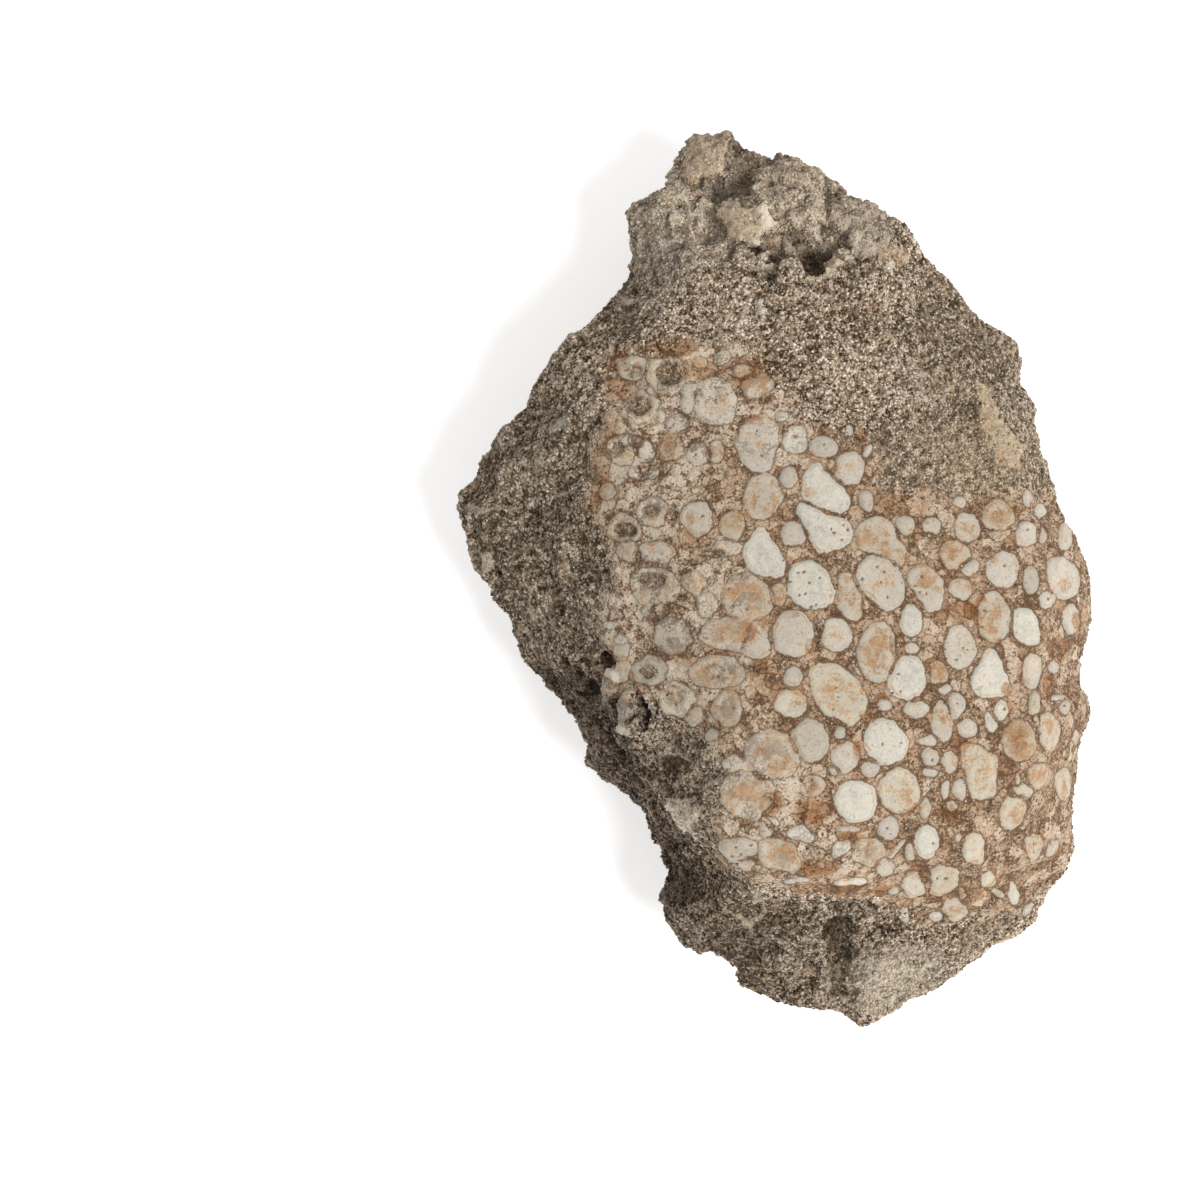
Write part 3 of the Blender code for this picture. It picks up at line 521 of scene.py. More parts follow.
# %% List the chips, pebbles and holes
CHIPS = {
    "cavity lump": ("8F7C69", 0.7, 0.1, 0.8, 38.1, 0.8, 0.6, 20),
    "pebble": ("C4B7A5", 0.80, 0.4, 10.4, 37.2, 1.5, 0.8, -15),
    "white chip 1": ("D9D0C4", 0.9, 0.2, 12.9, 35.3, 0.5, 0.5, 0),
    "white chip 2": ("D9D0C4", 0.9, 0.2, 15.4, 36.5, 0.4, 0.6, 0),
    "cube": ("DDD5C9", 1.0, 0.3, -1.9, 44.4, 0.45, 0.35, 15),
    "white grain 1": ("D3CBBE", 0.95, 0.3, -1.3, 30.3, 0.6, 1.2, 10),
    "white grain 2": ("CFC6B8", 0.8, 0.2, -3.4, 29.5, 0.35, 0.55, 20),
    "white grain 3": ("CFC6B8", 0.8, 0.2, 8.9, 25.2, 0.45, 0.5, 0),
    "pale chip": ("CFC4B4", 0.8, 0.1, -16.2, 31.5, 0.8, 0.6, 0),
    "dark spot": ("4A3D30", 0.8, -0.3, 18.3, 33.5, 0.6, 0.5, 0),
    "cavity chip 1": ("C9BDAC", 0.8, 0.4, -0.2, 35.3, 0.9, 0.4, -20),
    "cavity chip 2": ("B5A793", 0.7, 0.5, 2.6, 37.6, 0.5, 1.1, 30),
    "lobe crust 1": ("C2BAAC", 0.32, 0.1, -11.2, 41.2, 3.6, 0.8, 0),
    "lobe crust 2": ("BDB5A7", 0.28, 0.1, -12.6, 38.1, 1.5, 1.8, 15),
    "yellow shell": ("C9B592", 0.55, 0.2, -11.8, 43.0, 1.3, 0.5, 0),
    "ledge crust": ("CDC1B0", 0.70, 0.3, 5.3, 38.6, 0.6, 1.5, 25),
    "pebble 2": ("C8BBAA", 0.80, 0.3, 9.3, 38.2, 1.0, 0.6, 30),
    "west chip 1": ("B9B0A1", 0.75, 0.1, -24.2, 17.3, 1.3, 0.5, 35),
    "west chip 2": ("B4AB9C", 0.7, 0.1, -26.4, 12.9, 1.0, 0.5, -20),
    "west chip 3": ("BDB3A3", 0.7, 0.1, -23.8, 9.2, 0.5, 0.4, 0),
    "west chip 4": ("A89D8B", 0.7, 0.1, -33.8, 7.8, 1.6, 0.6, -15),
    "west chip 5": ("B4AA99", 0.7, 0.1, -27.3, -4.4, 0.5, 0.9, 25),
    "west pale oval": ("B5AA98", 0.8, 0.2, -32.5, 1.8, 0.8, 1.2, 0),
    "west dark spot": ("4A3D30", 0.8, -0.5, -32.0, 6.0, 0.8, 0.8, 0),
    # The hole is painted near black: painted shadow in the hole.
    "hole": ("100B07", 1.0, -1.6, -18.9, -9.7, 0.7, 1.1, 0),
    "first tube": ("91887A", 0.85, 0.8, -18.4, -12.6, 0.65, 2.3, -17),
    "second tube": ("93897A", 0.85, 0.7, -16.6, -14.6, 0.85, 1.9, -12),
    "second tube end": ("C4B9A8", 0.9, 0.8, -16.6, -17.2, 1.0, 0.8, 0),
    # The crevice, the wall hole and the ledge hollow are painted near black: painted shadow in them.
    "crevice": ("1A130D", 0.95, -1.5, -15.0, -15.2, 0.55, 2.4, 12),
    "wall hole": ("241A11", 0.9, -1.2, -20.9, -12.9, 0.7, 1.0, 20),
    "ledge hollow": ("3A2C1F", 0.7, -0.9, -11.9, -20.9, 1.9, 0.9, 0),
    "yellow chip": ("B9A57C", 0.8, 0.2, -17.0, -12.4, 0.4, 0.6, 0),
    "tooth": ("F0E7D4", 1.0, 0.5, -11.9, -25.8, 1.0, 0.9, 0),
    "white dot 1": ("E6DFD2", 1.0, 0.2, -8.9, -28.6, 0.35, 0.35, 0),
    "white dot 2": ("DDD3C2", 0.8, 0.2, -9.9, -27.5, 0.5, 0.4, 0),
    "small ring": ("C4B59F", 0.7, 0.2, -2.0, -36.3, 0.5, 0.5, 0),
    "blue patch": ("A39C93", 0.6, 0.1, 11.0, -44.5, 1.3, 1.0, 0),
    # The two dark cavities are painted dark brown: painted shadow in them.
    "dark cavity 1": ("3A2D20", 0.5, -0.9, 9.0, -37.5, 2.6, 1.3, 0),
    "dark cavity 2": ("3A2D20", 0.5, -0.7, 6.6, -40.4, 1.2, 1.5, 0),
    "white dot 3": ("D9D0C4", 0.9, 0.2, -8.6, -29.4, 0.3, 0.4, 0),
    "white dot 4": ("D3C9BA", 0.9, 0.2, 1.5, -43.2, 0.35, 0.35, 0),
}
print(len(CHIPS), "chips, pebbles and holes are listed")

# %% [markdown]
# ## Wide changes of tone and broken steps
# Some sides of the matrix are paler and some darker. The darker west is painted shade for the
# side that faces away from the light. A wide, soft oval is enough for each: colour, strength,
# middle and half widths. Where the stone has broken into angular steps, an oval says so too:
# middle, half widths and strength. All of it is in mm.

# %% List the wide changes
PATCHES = {
    # The west oval is painted shade: it darkens the side that faces away from the light.
    "west": ("7B6D59", 0.34, -29.0, 1.0, 15.0, 22.0),
    "north": ("E8D3B8", 0.58, 0.0, 43.0, 15.0, 8.0),
    "north-west": ("DCCCB6", 0.44, -12.0, 40.5, 8.0, 7.0),
    "west crust": ("B9B0A2", 0.30, -15.0, 35.0, 6.0, 6.0),
    "east": ("D0B999", 0.35, 25.0, 22.0, 10.0, 16.0),
    "east border": ("E6CAAA", 0.36, 17.0, 12.8, 12.0, 5.0),
    "south": ("66543F", 0.36, 2.0, -44.0, 14.0, 7.0),
    "south-east": ("DDCDB6", 0.50, 14.5, -46.0, 7.0, 4.5),
    "foot": ("5B4B3A", 0.40, -9.0, -40.0, 9.0, 8.0),
    "south-west": ("7C6D5A", 0.38, -9.5, -21.5, 7.0, 9.0),
}
CRAGS = {
    "north": (-1.0, 43.5, 15.0, 9.0, 1.0), "cavity": (2.5, 37.0, 9.0, 5.0, 1.6),
    "upper wall": (-20.0, -15.0, 8.0, 8.0, 0.9), "lower wall": (-12.5, -29.0, 6.0, 11.0, 0.8),
    "south": (4.0, -43.0, 16.0, 7.0, 0.6), "west rim": (-34.0, -2.0, 4.0, 10.0, 0.5),
}
print(len(PATCHES), "changes of tone and", len(CRAGS), "places with broken steps are listed")

# %% [markdown]
# ## What each look of a cup means
# Calcite is white where it is pure. Thin clay makes it grey or lilac, and iron makes it tan.
# Each look is one colour, written as a screen colour in hex and turned to linear light, and a
# share of rust from 0 to 1, which says how much of the cup the iron has reached.

# %% Colours of the cups
def linear(colour):
    """A hex screen colour as linear red, green, blue and a full alpha."""
    parts = [int(colour[i:i + 2], 16) / 255 for i in (0, 2, 4)]
    return [p / 12.92 if p <= 0.04045 else ((p + 0.055) / 1.055) ** 2.4 for p in parts] + [1.0]


LOOKS = {
    "white": ("C8C2B4", 0.06),
    "pale": ("C2B9AA", 0.24),
    "cream": ("C5BBA8", 0.40),
    "grey": ("B8AF9F", 0.16),
    "lilac": ("BAB0A2", 0.10),
    "tan": ("C2B7A5", 0.57),
    "orange": ("C0B29C", 0.70),
    "mottled": ("C3B9A9", 0.54),
}
print("cup looks:", ", ".join(LOOKS))

# %% [markdown]
# ## Distance to an oval
# Each point of the net gets a few numbers: how far it is from the nearest cup's wall, which cup
# it belongs to, and how much stain, sand, hollow and speck it has. The colours could be painted
# on faces, but the net is coarser than a cup's wall. A distance changes smoothly across a face,
# so the material can cut a thin, crisp wall from it later. The first helper is for ovals.

# %% Ovals
def soft_step(value, start, end):
    """Rises smoothly from 0 at the start to 1 at the end."""
    share = np.clip((value - start) / (end - start), 0.0, 1.0)
    return share * share * (3.0 - 2.0 * share)


def oval_gap(x, y, oval, wobble):
    """Distance outside an oval, negative inside. The wobble makes it less regular."""
    middle_x, middle_y, half_x, half_y, turn = oval
    angle = math.radians(turn)
    along = (x - middle_x) * math.cos(angle) + (y - middle_y) * math.sin(angle)
    beside = (y - middle_y) * math.cos(angle) - (x - middle_x) * math.sin(angle)
    spoke = np.arctan2(beside, along)
    reach = 1.0 / np.hypot(np.cos(spoke) / half_x, np.sin(spoke) / half_y)
    reach *= 1.0 + wobble * np.sin(2 * spoke + middle_x) + wobble * np.sin(3 * spoke + middle_y)
    return np.hypot(along, beside) - reach


print("1 mm beside a 5 mm wide round cup:", oval_gap(3.5, 0.0, (0.0, 0.0, 2.5, 2.5, 0.0), 0.0))

# %% [markdown]
# ## Distance to an outline
# A cup with corners is rounded first, with a curve that passes through each of its points. Then
# it is an outline like the broken faces, and a point's distance is that to the nearest side.

# %% Outlines
def rounded(corners, steps=5):
    """A closed Catmull-Rom curve through the corners."""
    rows = np.array(corners, float)
    before, after, later = (np.roll(rows, k, axis=0) for k in (1, -1, -2))
    parts = []
    for u in np.linspace(0.0, 1.0, steps, endpoint=False):
        pull = (after - before) * u
        rise = (2.0 * before - 5.0 * rows + 4.0 * after - later) * u * u
        twist = (3.0 * rows - before - 3.0 * after + later) * u**3
        parts.append(rows + 0.5 * (pull + rise + twist))
    return np.stack(parts, axis=1).reshape(-1, 2)


def outline_gap(x, y, corners):
    """Distance outside a closed outline, negative inside."""
    nearest = np.full(x.shape, 1e9)
    inside = np.zeros(x.shape, bool)
    for (ax, ay), (bx, by) in zip(corners, np.roll(corners, -1, axis=0)):
        length = (bx - ax) ** 2 + (by - ay) ** 2
        along = np.clip(((x - ax) * (bx - ax) + (y - ay) * (by - ay)) / length, 0.0, 1.0)
        nearest = np.minimum(nearest, np.hypot(x - ax - along * (bx - ax), y - ay - along * (by - ay)))
        if ay != by:
            inside ^= ((ay > y) != (by > y)) & (x < (bx - ax) * (y - ay) / (by - ay) + ax)
    return np.where(inside, -nearest, nearest)


print("cup B5 has", len(rounded(CORNERED_CUPS["B5"][1])), "points when it is rounded")

# %% [markdown]
# ## The nearest cup
# Cups that press on each other still have a wall between them. So a point compares its nearest
# two cups, and where both are close, a wall of a fixed width is kept halfway between them.

# %% The nearest cup of each point, in pixels
CUP_WOBBLE = 0.035
WALL_GAP = 1.8
REACH = 14
TOO_FAR = 99.0


def nearest_cups(across, down):
    """Pixels to the nearest cup's wall, negative inside it, and that cup's colour and rust."""
    first = np.full(across.shape, TOO_FAR)
    second = np.full(across.shape, TOO_FAR)
    colour = np.tile(linear(LOOKS["pale"][0]), (len(across), 1))
    rust = np.zeros(across.shape)
    shapes = []
    for name, (*oval, look) in CUPS.items():
        shapes.append((np.array([oval[:2]]), max(oval[2:]), (*oval, CUP_TURNS.get(name, 0)), look))
    for look, corners in CORNERED_CUPS.values():
        shapes.append((rounded(corners), 0.0, None, look))
    for places, half, oval, look in shapes:
        low = places.min(axis=0) - half - REACH
        high = places.max(axis=0) + half + REACH
        near = (across > low[0]) & (across < high[0]) & (down > low[1]) & (down < high[1])
        near = np.flatnonzero(near)
        x, y = across[near], down[near]
        gap = outline_gap(x, y, places) if oval is None else oval_gap(x, y, oval, CUP_WOBBLE)
        closer = gap < first[near]
        second[near] = np.where(closer, first[near], np.minimum(second[near], gap))
        first[near] = np.where(closer, gap, first[near])
        colour[near[closer]] = linear(LOOKS[look][0])
        rust[near[closer]] = LOOKS[look][1]
    return np.maximum(first, WALL_GAP / 2 - (second - first) / 2), colour, rust


middle_of_a1 = np.array([CUPS["A1"][:2]], float).T
print("the middle of cup A1 is", round(-nearest_cups(*middle_of_a1)[0][0], 1), "pixels inside it")

# %% [markdown]
# ## Soft ovals
# Stains, sand, hollows and specks have no wall, so they need no distance. Each is full in the
# middle of its oval and fades out across its edge. Where two meet, the stronger one counts.

# %% Soft ovals
def soft_ovals(across, down, ovals):
    """The strongest of a list of soft-edged ovals at each point."""
    amount = np.zeros(across.shape)
    for x, y, half_x, half_y, strength in ovals:
        share = np.hypot((across - x) / half_x, (down - y) / half_y)
        amount = np.maximum(amount, strength * (1.0 - soft_step(share, 0.65, 1.3)))
    return amount


print("rust in the middle of cup A1:", soft_ovals(*middle_of_a1, STAINS.values()).round(2))

# %% [markdown]
# ## Where the coral ends
# The coral patch has a ragged border against the sandy matrix. Its outline is one closed curve
# in the picture. In the east it runs past the rim, because the coral goes on over the edge.

# %% Outline of the coral patch, in pixels
CORAL_PATCH = [
    (654, 352), (692, 340), (743, 350), (774, 382), (800, 414), (845, 432), (880, 448),
    (889, 487), (946, 492), (1009, 486), (1062, 505), (1100, 560), (1110, 700), (1105, 800),
    (1085, 860), (1040, 900), (1003, 912), (933, 922), (895, 905), (857, 898), (793, 890),
    (749, 876), (716, 862), (710, 830), (726, 790), (712, 750), (692, 728), (655, 706),
    (625, 692), (606, 670), (598, 640), (603, 600), (610, 560), (594, 516), (588, 465),
    (604, 410), (618, 365),
]


def coral_inset(across, down, size):
    """Distance in mm inside the coral patch, negative outside it."""
    return -outline_gap(across, down, rounded(CORAL_PATCH)) * size


print("cup A1 is", coral_inset(*middle_of_a1, FLOOR_WIDTH / PICTURE).round(1), "mm inside the patch")

# %% [markdown]
# ## Reading a net
# Blender keeps the points of a mesh in long columns. Going through them one by one in Python is
# slow, so a whole column is read at once. A few points are kept at hand, to try each helper on.

# %% Read the numbers of a net
def numbers(mesh, layer, name, width):
    """One column or table of numbers from a mesh."""
    table = np.empty(len(getattr(mesh, layer)) * width, np.float32)
    getattr(mesh, layer).foreach_get(name, table)
    return table.reshape(-1, width).astype(float)


some_points = numbers(stone.data, "vertices", "co", 3)[::500] / MM
some_normals = numbers(stone.data, "vertices", "normal", 3)[::500]
print(len(some_points), "points to try the helpers on")

# %% [markdown]
# ## Lumps of any size
# Broken stone is uneven at every scale. One helper makes smooth random lumps of a given size in
# mm. It is used for the ragged border, the uneven walls and the relief. The seed shifts the
# pattern, so that two uses of one size don't follow each other.

# %% Lumps
def lumps(points, size, octaves=1, seed=0.0):
    """Smooth random numbers of about -1 to 1, for lumps about that many mm across."""
    shift = Vector((seed, 1.7 * seed, 0.6 * seed))
    return np.array([noise.fractal(Vector(p) / size + shift, 1.0, 2.0, octaves) for p in points])


print("lumps of 2 mm along a line:", lumps(np.eye(3) * [1.0, 3.0, 5.0], 2.0).round(2))

# %% [markdown]
# ## Laying faces and chips on the stone
# A face or chip gives the stone a tint, makes it calm where it is smooth, and lifts it by a step.
# On a steep side it must not run down the wall like paint, so raised faces and all chips fade
# some way below their own highest point. Their edges are a little ragged, as broken edges are.

# %% Faces and chips
FACE_DROP = 4.0
FACE_EDGE = (-0.25, 0.3)
CHIP_DROP = 2.5
CHIP_EDGE = (-0.15, 0.2)
CHIP_WOBBLE = 0.06
CHIP_CALM = 0.95
CALM_FROM = 0.6
EDGE_RAGGED = 0.35
EDGE_LUMP = 1.6


def near_top(heights, inside, drop):
    """1 near the highest point of a place on the stone, 0 far below it on a steep side."""
    found = heights[inside > 0.5]
    if not found.size:
        return 1.0
    return soft_step(heights, found.max() - 2 * drop, found.max() - drop)


def paint(tint, colour, amount):
    """Lays a colour over the tints, as paint over paint."""
    amount = amount[:, None]
    tint[:, :3] = tint[:, :3] * (1.0 - amount) + np.array(linear(colour)[:3]) * amount
    tint[:, 3:] = tint[:, 3:] * (1.0 - amount) + amount


def matrix_faces(points, seen):
    """The tint, the calm and the step of each point, from the lists of the matrix."""
    x, y, heights = points.T
    tint = np.zeros((len(points), 4))
    calm = np.zeros(len(points))
    step = np.zeros(len(points))
    for colour, strength, *oval in PATCHES.values():
        paint(tint, colour, soft_ovals(x, y, [(*oval, strength)]))
    ragged = EDGE_RAGGED * lumps(points, EDGE_LUMP, 3, 9.0)
    for colour, strength, smoothness, height, corners in FACES.values():
        gap = outline_gap(x, y, np.array(corners, float)) + ragged
        inside = soft_step(-gap, *FACE_EDGE) * seen
        if height > 0.0:
            inside *= near_top(heights, inside, FACE_DROP)
        paint(tint, colour, inside * strength)
        calm = np.maximum(calm, inside * smoothness)
        step += height * inside
    for colour, strength, height, *oval in CHIPS.values():
        gap = oval_gap(x, y, oval, CHIP_WOBBLE) + 0.4 * ragged
        inside = soft_step(-gap, *CHIP_EDGE) * seen
        inside *= near_top(heights, inside, CHIP_DROP)
        paint(tint, colour, inside * strength)
        calm = np.maximum(calm, inside * CHIP_CALM * (strength > CALM_FROM))
        step += height * inside
    return tint, calm, step


print("highest step on some points:", matrix_faces(some_points, 1.0)[2].max().round(2), "mm")

# %% [markdown]
# ## All numbers of a surface
# Now the lists become numbers on the points of a net. Only what the camera sees from above gets
# cups and stains: the coral's far sides keep the filling alone, because the lists say nothing of
# them. The wall and the border of the patch get some lumps, so that no line is too clean.

# %% Cups, stains and faces on the points of a net
FAR = 5.0
WALL_WOBBLE = 0.20
WALL_LUMP = 1.5
BORDER_WOBBLE = 1.7
BORDER_LUMP = 3.2
BORDER_SOFTNESS = 3.2


def surface_numbers(points, normals):
    """What the coral and the matrix are like at each point in mm, and how high faces stand."""
    across, down, size = pixel_of(points)
    seen = soft_step(normals[:, 2], 0.0, 0.2)
    pixels, cup, rust = nearest_cups(across, down)
    milk = soft_ovals(across, down, MILKY.values()) * seen
    wall = np.where(seen > 0.0, pixels * size, FAR)
    wall += WALL_WOBBLE * (1.0 + 1.3 * milk) * lumps(points, WALL_LUMP, 2, 13.0)
    wall = np.clip(wall + FAR * (1.0 - seen), -FAR, FAR)
    inset = coral_inset(across, down, size) + BORDER_WOBBLE * lumps(points, BORDER_LUMP, 3, 5.0)
    coral = soft_step(inset, -BORDER_SOFTNESS / 2, BORDER_SOFTNESS / 2)
    coral *= soft_step(normals[:, 2] + 0.5 * lumps(points, 4.0, 2, 21.0), -0.25, 0.2)
    tint, calm, step = matrix_faces(points, seen)
    specks = [(x, y, SPECK_WIDTH / 2, SPECK_WIDTH / 2, 1.0) for x, y in SPECKS]
    surface = {
        "wall": wall,
        "cup": cup,
        "rust": rust,
        "milk": milk,
        "coral": coral,
        "iron": soft_ovals(across, down, STAINS.values()) * seen,
        "sand": soft_ovals(across, down, DARK_SAND.values()) * seen,
        "hollow": soft_ovals(across, down, HOLLOWS.values()) * seen,
        "speck": soft_ovals(across, down, specks) * seen,
        "tint": tint,
        "calm": calm,
    }
    return surface, step


on_coral = surface_numbers(some_points, some_normals)[0]["coral"] > 0.5
print("share of the stone that is coral:", on_coral.mean().round(2))

# %% [markdown]
# ## Angular steps
# Where limestone breaks, it leaves small leaning facets with steps between them, which smooth
# lumps can't give. A cell pattern gives them: each cell gets a height and a lean of its own.

# %% Angular steps
CRAG_LEAN = 1.4
CRAG_STEP = 0.8


def crags(points, size):
    """Steps and leaning facets about that many mm across, mostly from -1 to 1."""
    rows = []
    for place in points / size:
        place = Vector(place)
        middle = noise.voronoi(place)[1][0]
        lean = noise.cell_vector(middle * 9.1) - Vector((0.5, 0.5, 0.5))
        height = CRAG_LEAN * lean.dot(place - middle) + CRAG_STEP * noise.cell(middle * 5.7)
        rows.append(height - CRAG_STEP / 2)
    return np.array(rows)


found = crags(some_points, 2.0)
print("steps from", found.min().round(2), "to", found.max().round(2))

# %% [markdown]
# ## Relief
# The cups are worn flat but stand a little proud of the softer filling, by about a fifth of
# a millimetre, and each has a fine groove along its wall. The matrix is rough at every scale:
# lumps of 1 to 6 mm, small pits, angular steps where it broke, and thin level beds on its steep
# sides. A displacement in the material would be lost in the exported mesh, so the points
# themselves are moved along their normals.

# %% How far each point moves, in mm
CUP_RISE = 0.12
JOINT_DEPTH = 0.08
WALL_GROOVE = 0.06
GROOVE_WIDTH = 0.14
HOLLOW_DEPTH = 0.38
SAND_DEPTH = 0.25
SPECK_DEPTH = 0.10
CORAL_SMOOTH = 0.60
CALM_SMOOTH = 0.85
POCKET_ROUGH = 0.7
LEAST_BROKEN = 0.25
LUMP_HEIGHTS = {6.0: 0.35, 2.3: 0.30, 0.95: 0.22}
SWELL_HEIGHT = 0.10
SWELL_LENGTH = 5.0
PIT_SPACING = 1.9
PIT_DEPTH = 0.34
CRAG_HEIGHTS = {4.2: 0.75, 1.9: 0.50}
BED_HEIGHT = 0.45
BED_SPACING = 1.2
BED_LENGTH = 7.0


def relief(points, normals, surface, step):
    """How far each point moves out of the stone, or into it."""
    wall, coral, hollow = surface["wall"], surface["coral"], surface["hollow"]
    rough = (1.0 - CORAL_SMOOTH * coral) * (1.0 - CALM_SMOOTH * surface["calm"])
    rough = np.maximum(rough, POCKET_ROUGH * np.maximum(hollow, surface["sand"]))
    in_cup = soft_step(-wall, 0.0, 0.3)
    rough *= 1.0 - CALM_SMOOTH * in_cup * (1.0 - hollow)
    move = step.copy()
    for seed, (width, height) in enumerate(LUMP_HEIGHTS.items()):
        move += height * lumps(points, width, 2, 11.0 * seed) * rough
    move += SWELL_HEIGHT * lumps(points, SWELL_LENGTH, 2, 3.0)
    crag = soft_ovals(points[:, 0], points[:, 1], CRAGS.values())
    broken = np.maximum(LEAST_BROKEN, crag) * rough * (1.0 - coral)
    for width, height in CRAG_HEIGHTS.items():
        move += height * crags(points, width) * broken
    steep = 1.0 - soft_step(normals[:, 2], 0.35, 0.8)
    beds = lumps(points * [1.0, 1.0, BED_LENGTH / BED_SPACING], BED_LENGTH, 3, 4.0)
    move += BED_HEIGHT * beds * steep * rough * (1.0 - coral)
    cells = np.array([noise.voronoi(Vector(p) / PIT_SPACING)[0][0] for p in points])
    move -= PIT_DEPTH * (1.0 - soft_step(cells, 0.10, 0.42)) * rough * (1.0 - 0.5 * coral)
    move += CUP_RISE * (1.0 - np.exp(-np.maximum(-wall, 0.0) / 0.4))
    move -= JOINT_DEPTH * soft_step(wall, 0.0, 0.4) * coral
    move -= WALL_GROOVE * np.exp(-((wall / GROOVE_WIDTH) ** 2))
    move -= HOLLOW_DEPTH * hollow * (1.0 + 0.8 * lumps(points, 1.2, 2, 7.0))
    move -= SAND_DEPTH * surface["sand"]
    move -= SPECK_DEPTH * surface["speck"]
    return move * soft_step(points[:, 2], 0.2, 3.0)


print("a cup stands", round(CUP_RISE + JOINT_DEPTH, 2), "mm above the filling")

# %% [markdown]
# ## Ridges and hollows
# Dirt stays in the hollows of a stone and its ridges are rubbed pale. The same number also paints
# shade into the hollows and a highlight onto the ridges. Where a point stands above the mean
# place of its neighbours it is a ridge, and where it stands below, a hollow.

# %% Ridges
RIDGE_ROUNDS = 2
RIDGE_SCALE = 0.12
RIDGE_SHARE = 0.2


def rubbed_and_shaded_ridges(mesh, points, normals):
    """From -0.2 in a hollow (dirt and painted shade) to 0.2 on a ridge (wear and painted highlight).
    """
    ends = numbers(mesh, "edges", "vertices", 2).astype(int)
    ends = np.concatenate([ends, ends[:, ::-1]])
    count = np.bincount(ends[:, 0], minlength=len(points))[:, None]
    around = points
    for _ in range(RIDGE_ROUNDS):
        total = [np.bincount(ends[:, 0], around[ends[:, 1], k], len(points)) for k in range(3)]
        around = np.stack(total, axis=1) / count
    above = ((points - around) * normals).sum(axis=1)
    return np.clip(above / RIDGE_SCALE, -1.0, 1.0) * RIDGE_SHARE


print("a ridge of", RIDGE_SCALE, "mm counts in full")

# %% [markdown]
# ## Dressing a net
# One function moves the points of a net and stores its numbers as attributes, where a material
# can read them. An image would need a map of the surface, and a vertex group holds only shares
# from 0 to 1. No point leaves the box of the CAD solid.

# %% Move the points and keep their numbers
def keep(mesh, name, values):
    """Stores one number or one colour for each point, where a material can read it."""
    kind = "FLOAT_COLOR" if values.ndim == 2 else "FLOAT"
    column = mesh.attributes.new(name, kind, "POINT")
    field = "color" if values.ndim == 2 else "value"
    column.data.foreach_set(field, values.astype(np.float32).ravel())


def in_cad_box(points):
    """Points kept inside the box of the CAD solid, in mm."""
    low, high = (np.array(corner) / MM for corner in cad_box)
    return np.clip(points, low, high)


def dress(obj, extra):
    """Moves a net's points into relief, by an extra distance too, and keeps their numbers."""
    mesh = obj.data
    points = numbers(mesh, "vertices", "co", 3) / MM
    normals = numbers(mesh, "vertices", "normal", 3)
    surface, step = surface_numbers(points, normals)
    move = relief(points, normals, surface, step) + extra
    points = in_cad_box(points + normals * move[:, None])
    mesh.vertices.foreach_set("co", (points * MM).astype(np.float32).ravel())
    # The ridge number: wear and a painted highlight on ridges, dirt and painted shade in hollows.
    surface["ridge"] = rubbed_and_shaded_ridges(mesh, points, normals)
    for name, values in surface.items():
        keep(mesh, name, values)
    mesh.shade_smooth()
    mesh.update()
    print(obj.name, "moved by", move.min().round(2), "to", move.max().round(2), "mm")


print("no point leaves", in_cad_box(np.full(3, 99.0)).round(1), "mm")

# %% [markdown]
# ## The coral face as its own, finer piece
# The coral face is what the eye goes to, and its walls are only about 0.2 mm wide. The net of
# the whole stone can't be that fine. So the part of it under the coral patch is copied, divided
# once more, and closed into a thick lens that sits in the stone. Faces that lean too far are
# left out, and so are the loose islands that this leaves.

# %% Cut the patch out of the net
PATCH_MARGIN = 0.8
LEAST_UPWARD = 0.12


def keep_largest(work):
    """Deletes the loose islands of a net, all but the largest."""
    islands = []
    left = set(work.faces)
    while left:
        island = {left.pop()}
        edge_of_search = list(island)
        while edge_of_search:
            face = edge_of_search.pop()
            for edge in face.edges:
                for other in edge.link_faces:
                    if other in left:
                        left.remove(other)
                        island.add(other)
                        edge_of_search.append(other)
        islands.append(island)
    islands.sort(key=len)
    loose = [face for island in islands[:-1] for face in island]
    bmesh.ops.delete(work, geom=loose, context="FACES")


def coral_lens(stone):
    """A finer copy of the stone's net under the coral patch, with an open border."""
    lens = bpy.data.objects.new("coral_face", stone.data.copy())
    bpy.context.scene.collection.objects.link(lens)
    work = bmesh.new()
    work.from_mesh(lens.data)
    points = np.array([face.calc_center_median() for face in work.faces]) / MM
    upward = np.array([face.normal.z for face in work.faces])
    outside = (coral_inset(*pixel_of(points)) < -PATCH_MARGIN) | (upward < LEAST_UPWARD)
    faces = [face for face, drop in zip(work.faces, outside) if drop]
    bmesh.ops.delete(work, geom=faces, context="FACES")
    keep_largest(work)
    work.to_mesh(lens.data)
    work.free()
    finer = lens.modifiers.new("finer", "SUBSURF")
    finer.levels = finer.render_levels = 1
    return applied(lens)


coral_face = coral_lens(stone)
print("coral face:", len(coral_face.data.polygons), "squares")

# %% [markdown]
# ## The border of the coral face
# Two nets at the same height show through each other in patches. So the border of the coral face
# dips just below the stone, and the stone gives way under its middle. For both, each point needs
# its distance to that border, and a search tree finds it quickly.

# %% Distance to the border
def border_points(mesh):
    """The points of a net's open border, in mm."""
    work = bmesh.new()
    work.from_mesh(mesh)
    found = [vert.co.copy() / MM for vert in work.verts if vert.is_boundary]
    work.free()
    return found


border = border_points(coral_face.data)
tree_of_border = kdtree.KDTree(len(border))
for number, place in enumerate(border):
    tree_of_border.insert(place, number)
tree_of_border.balance()


def from_border(points):
    """Distance in mm to the border of the coral face."""
    return np.array([tree_of_border.find(Vector(p))[2] for p in points])


print("the border has", len(border), "points")

# %% [markdown]
# ## Both nets into relief
# The dip is shallow and short, so that the two pieces meet without a visible step. The stone
# gives way by more than that, but only under the coral face, away from its border.

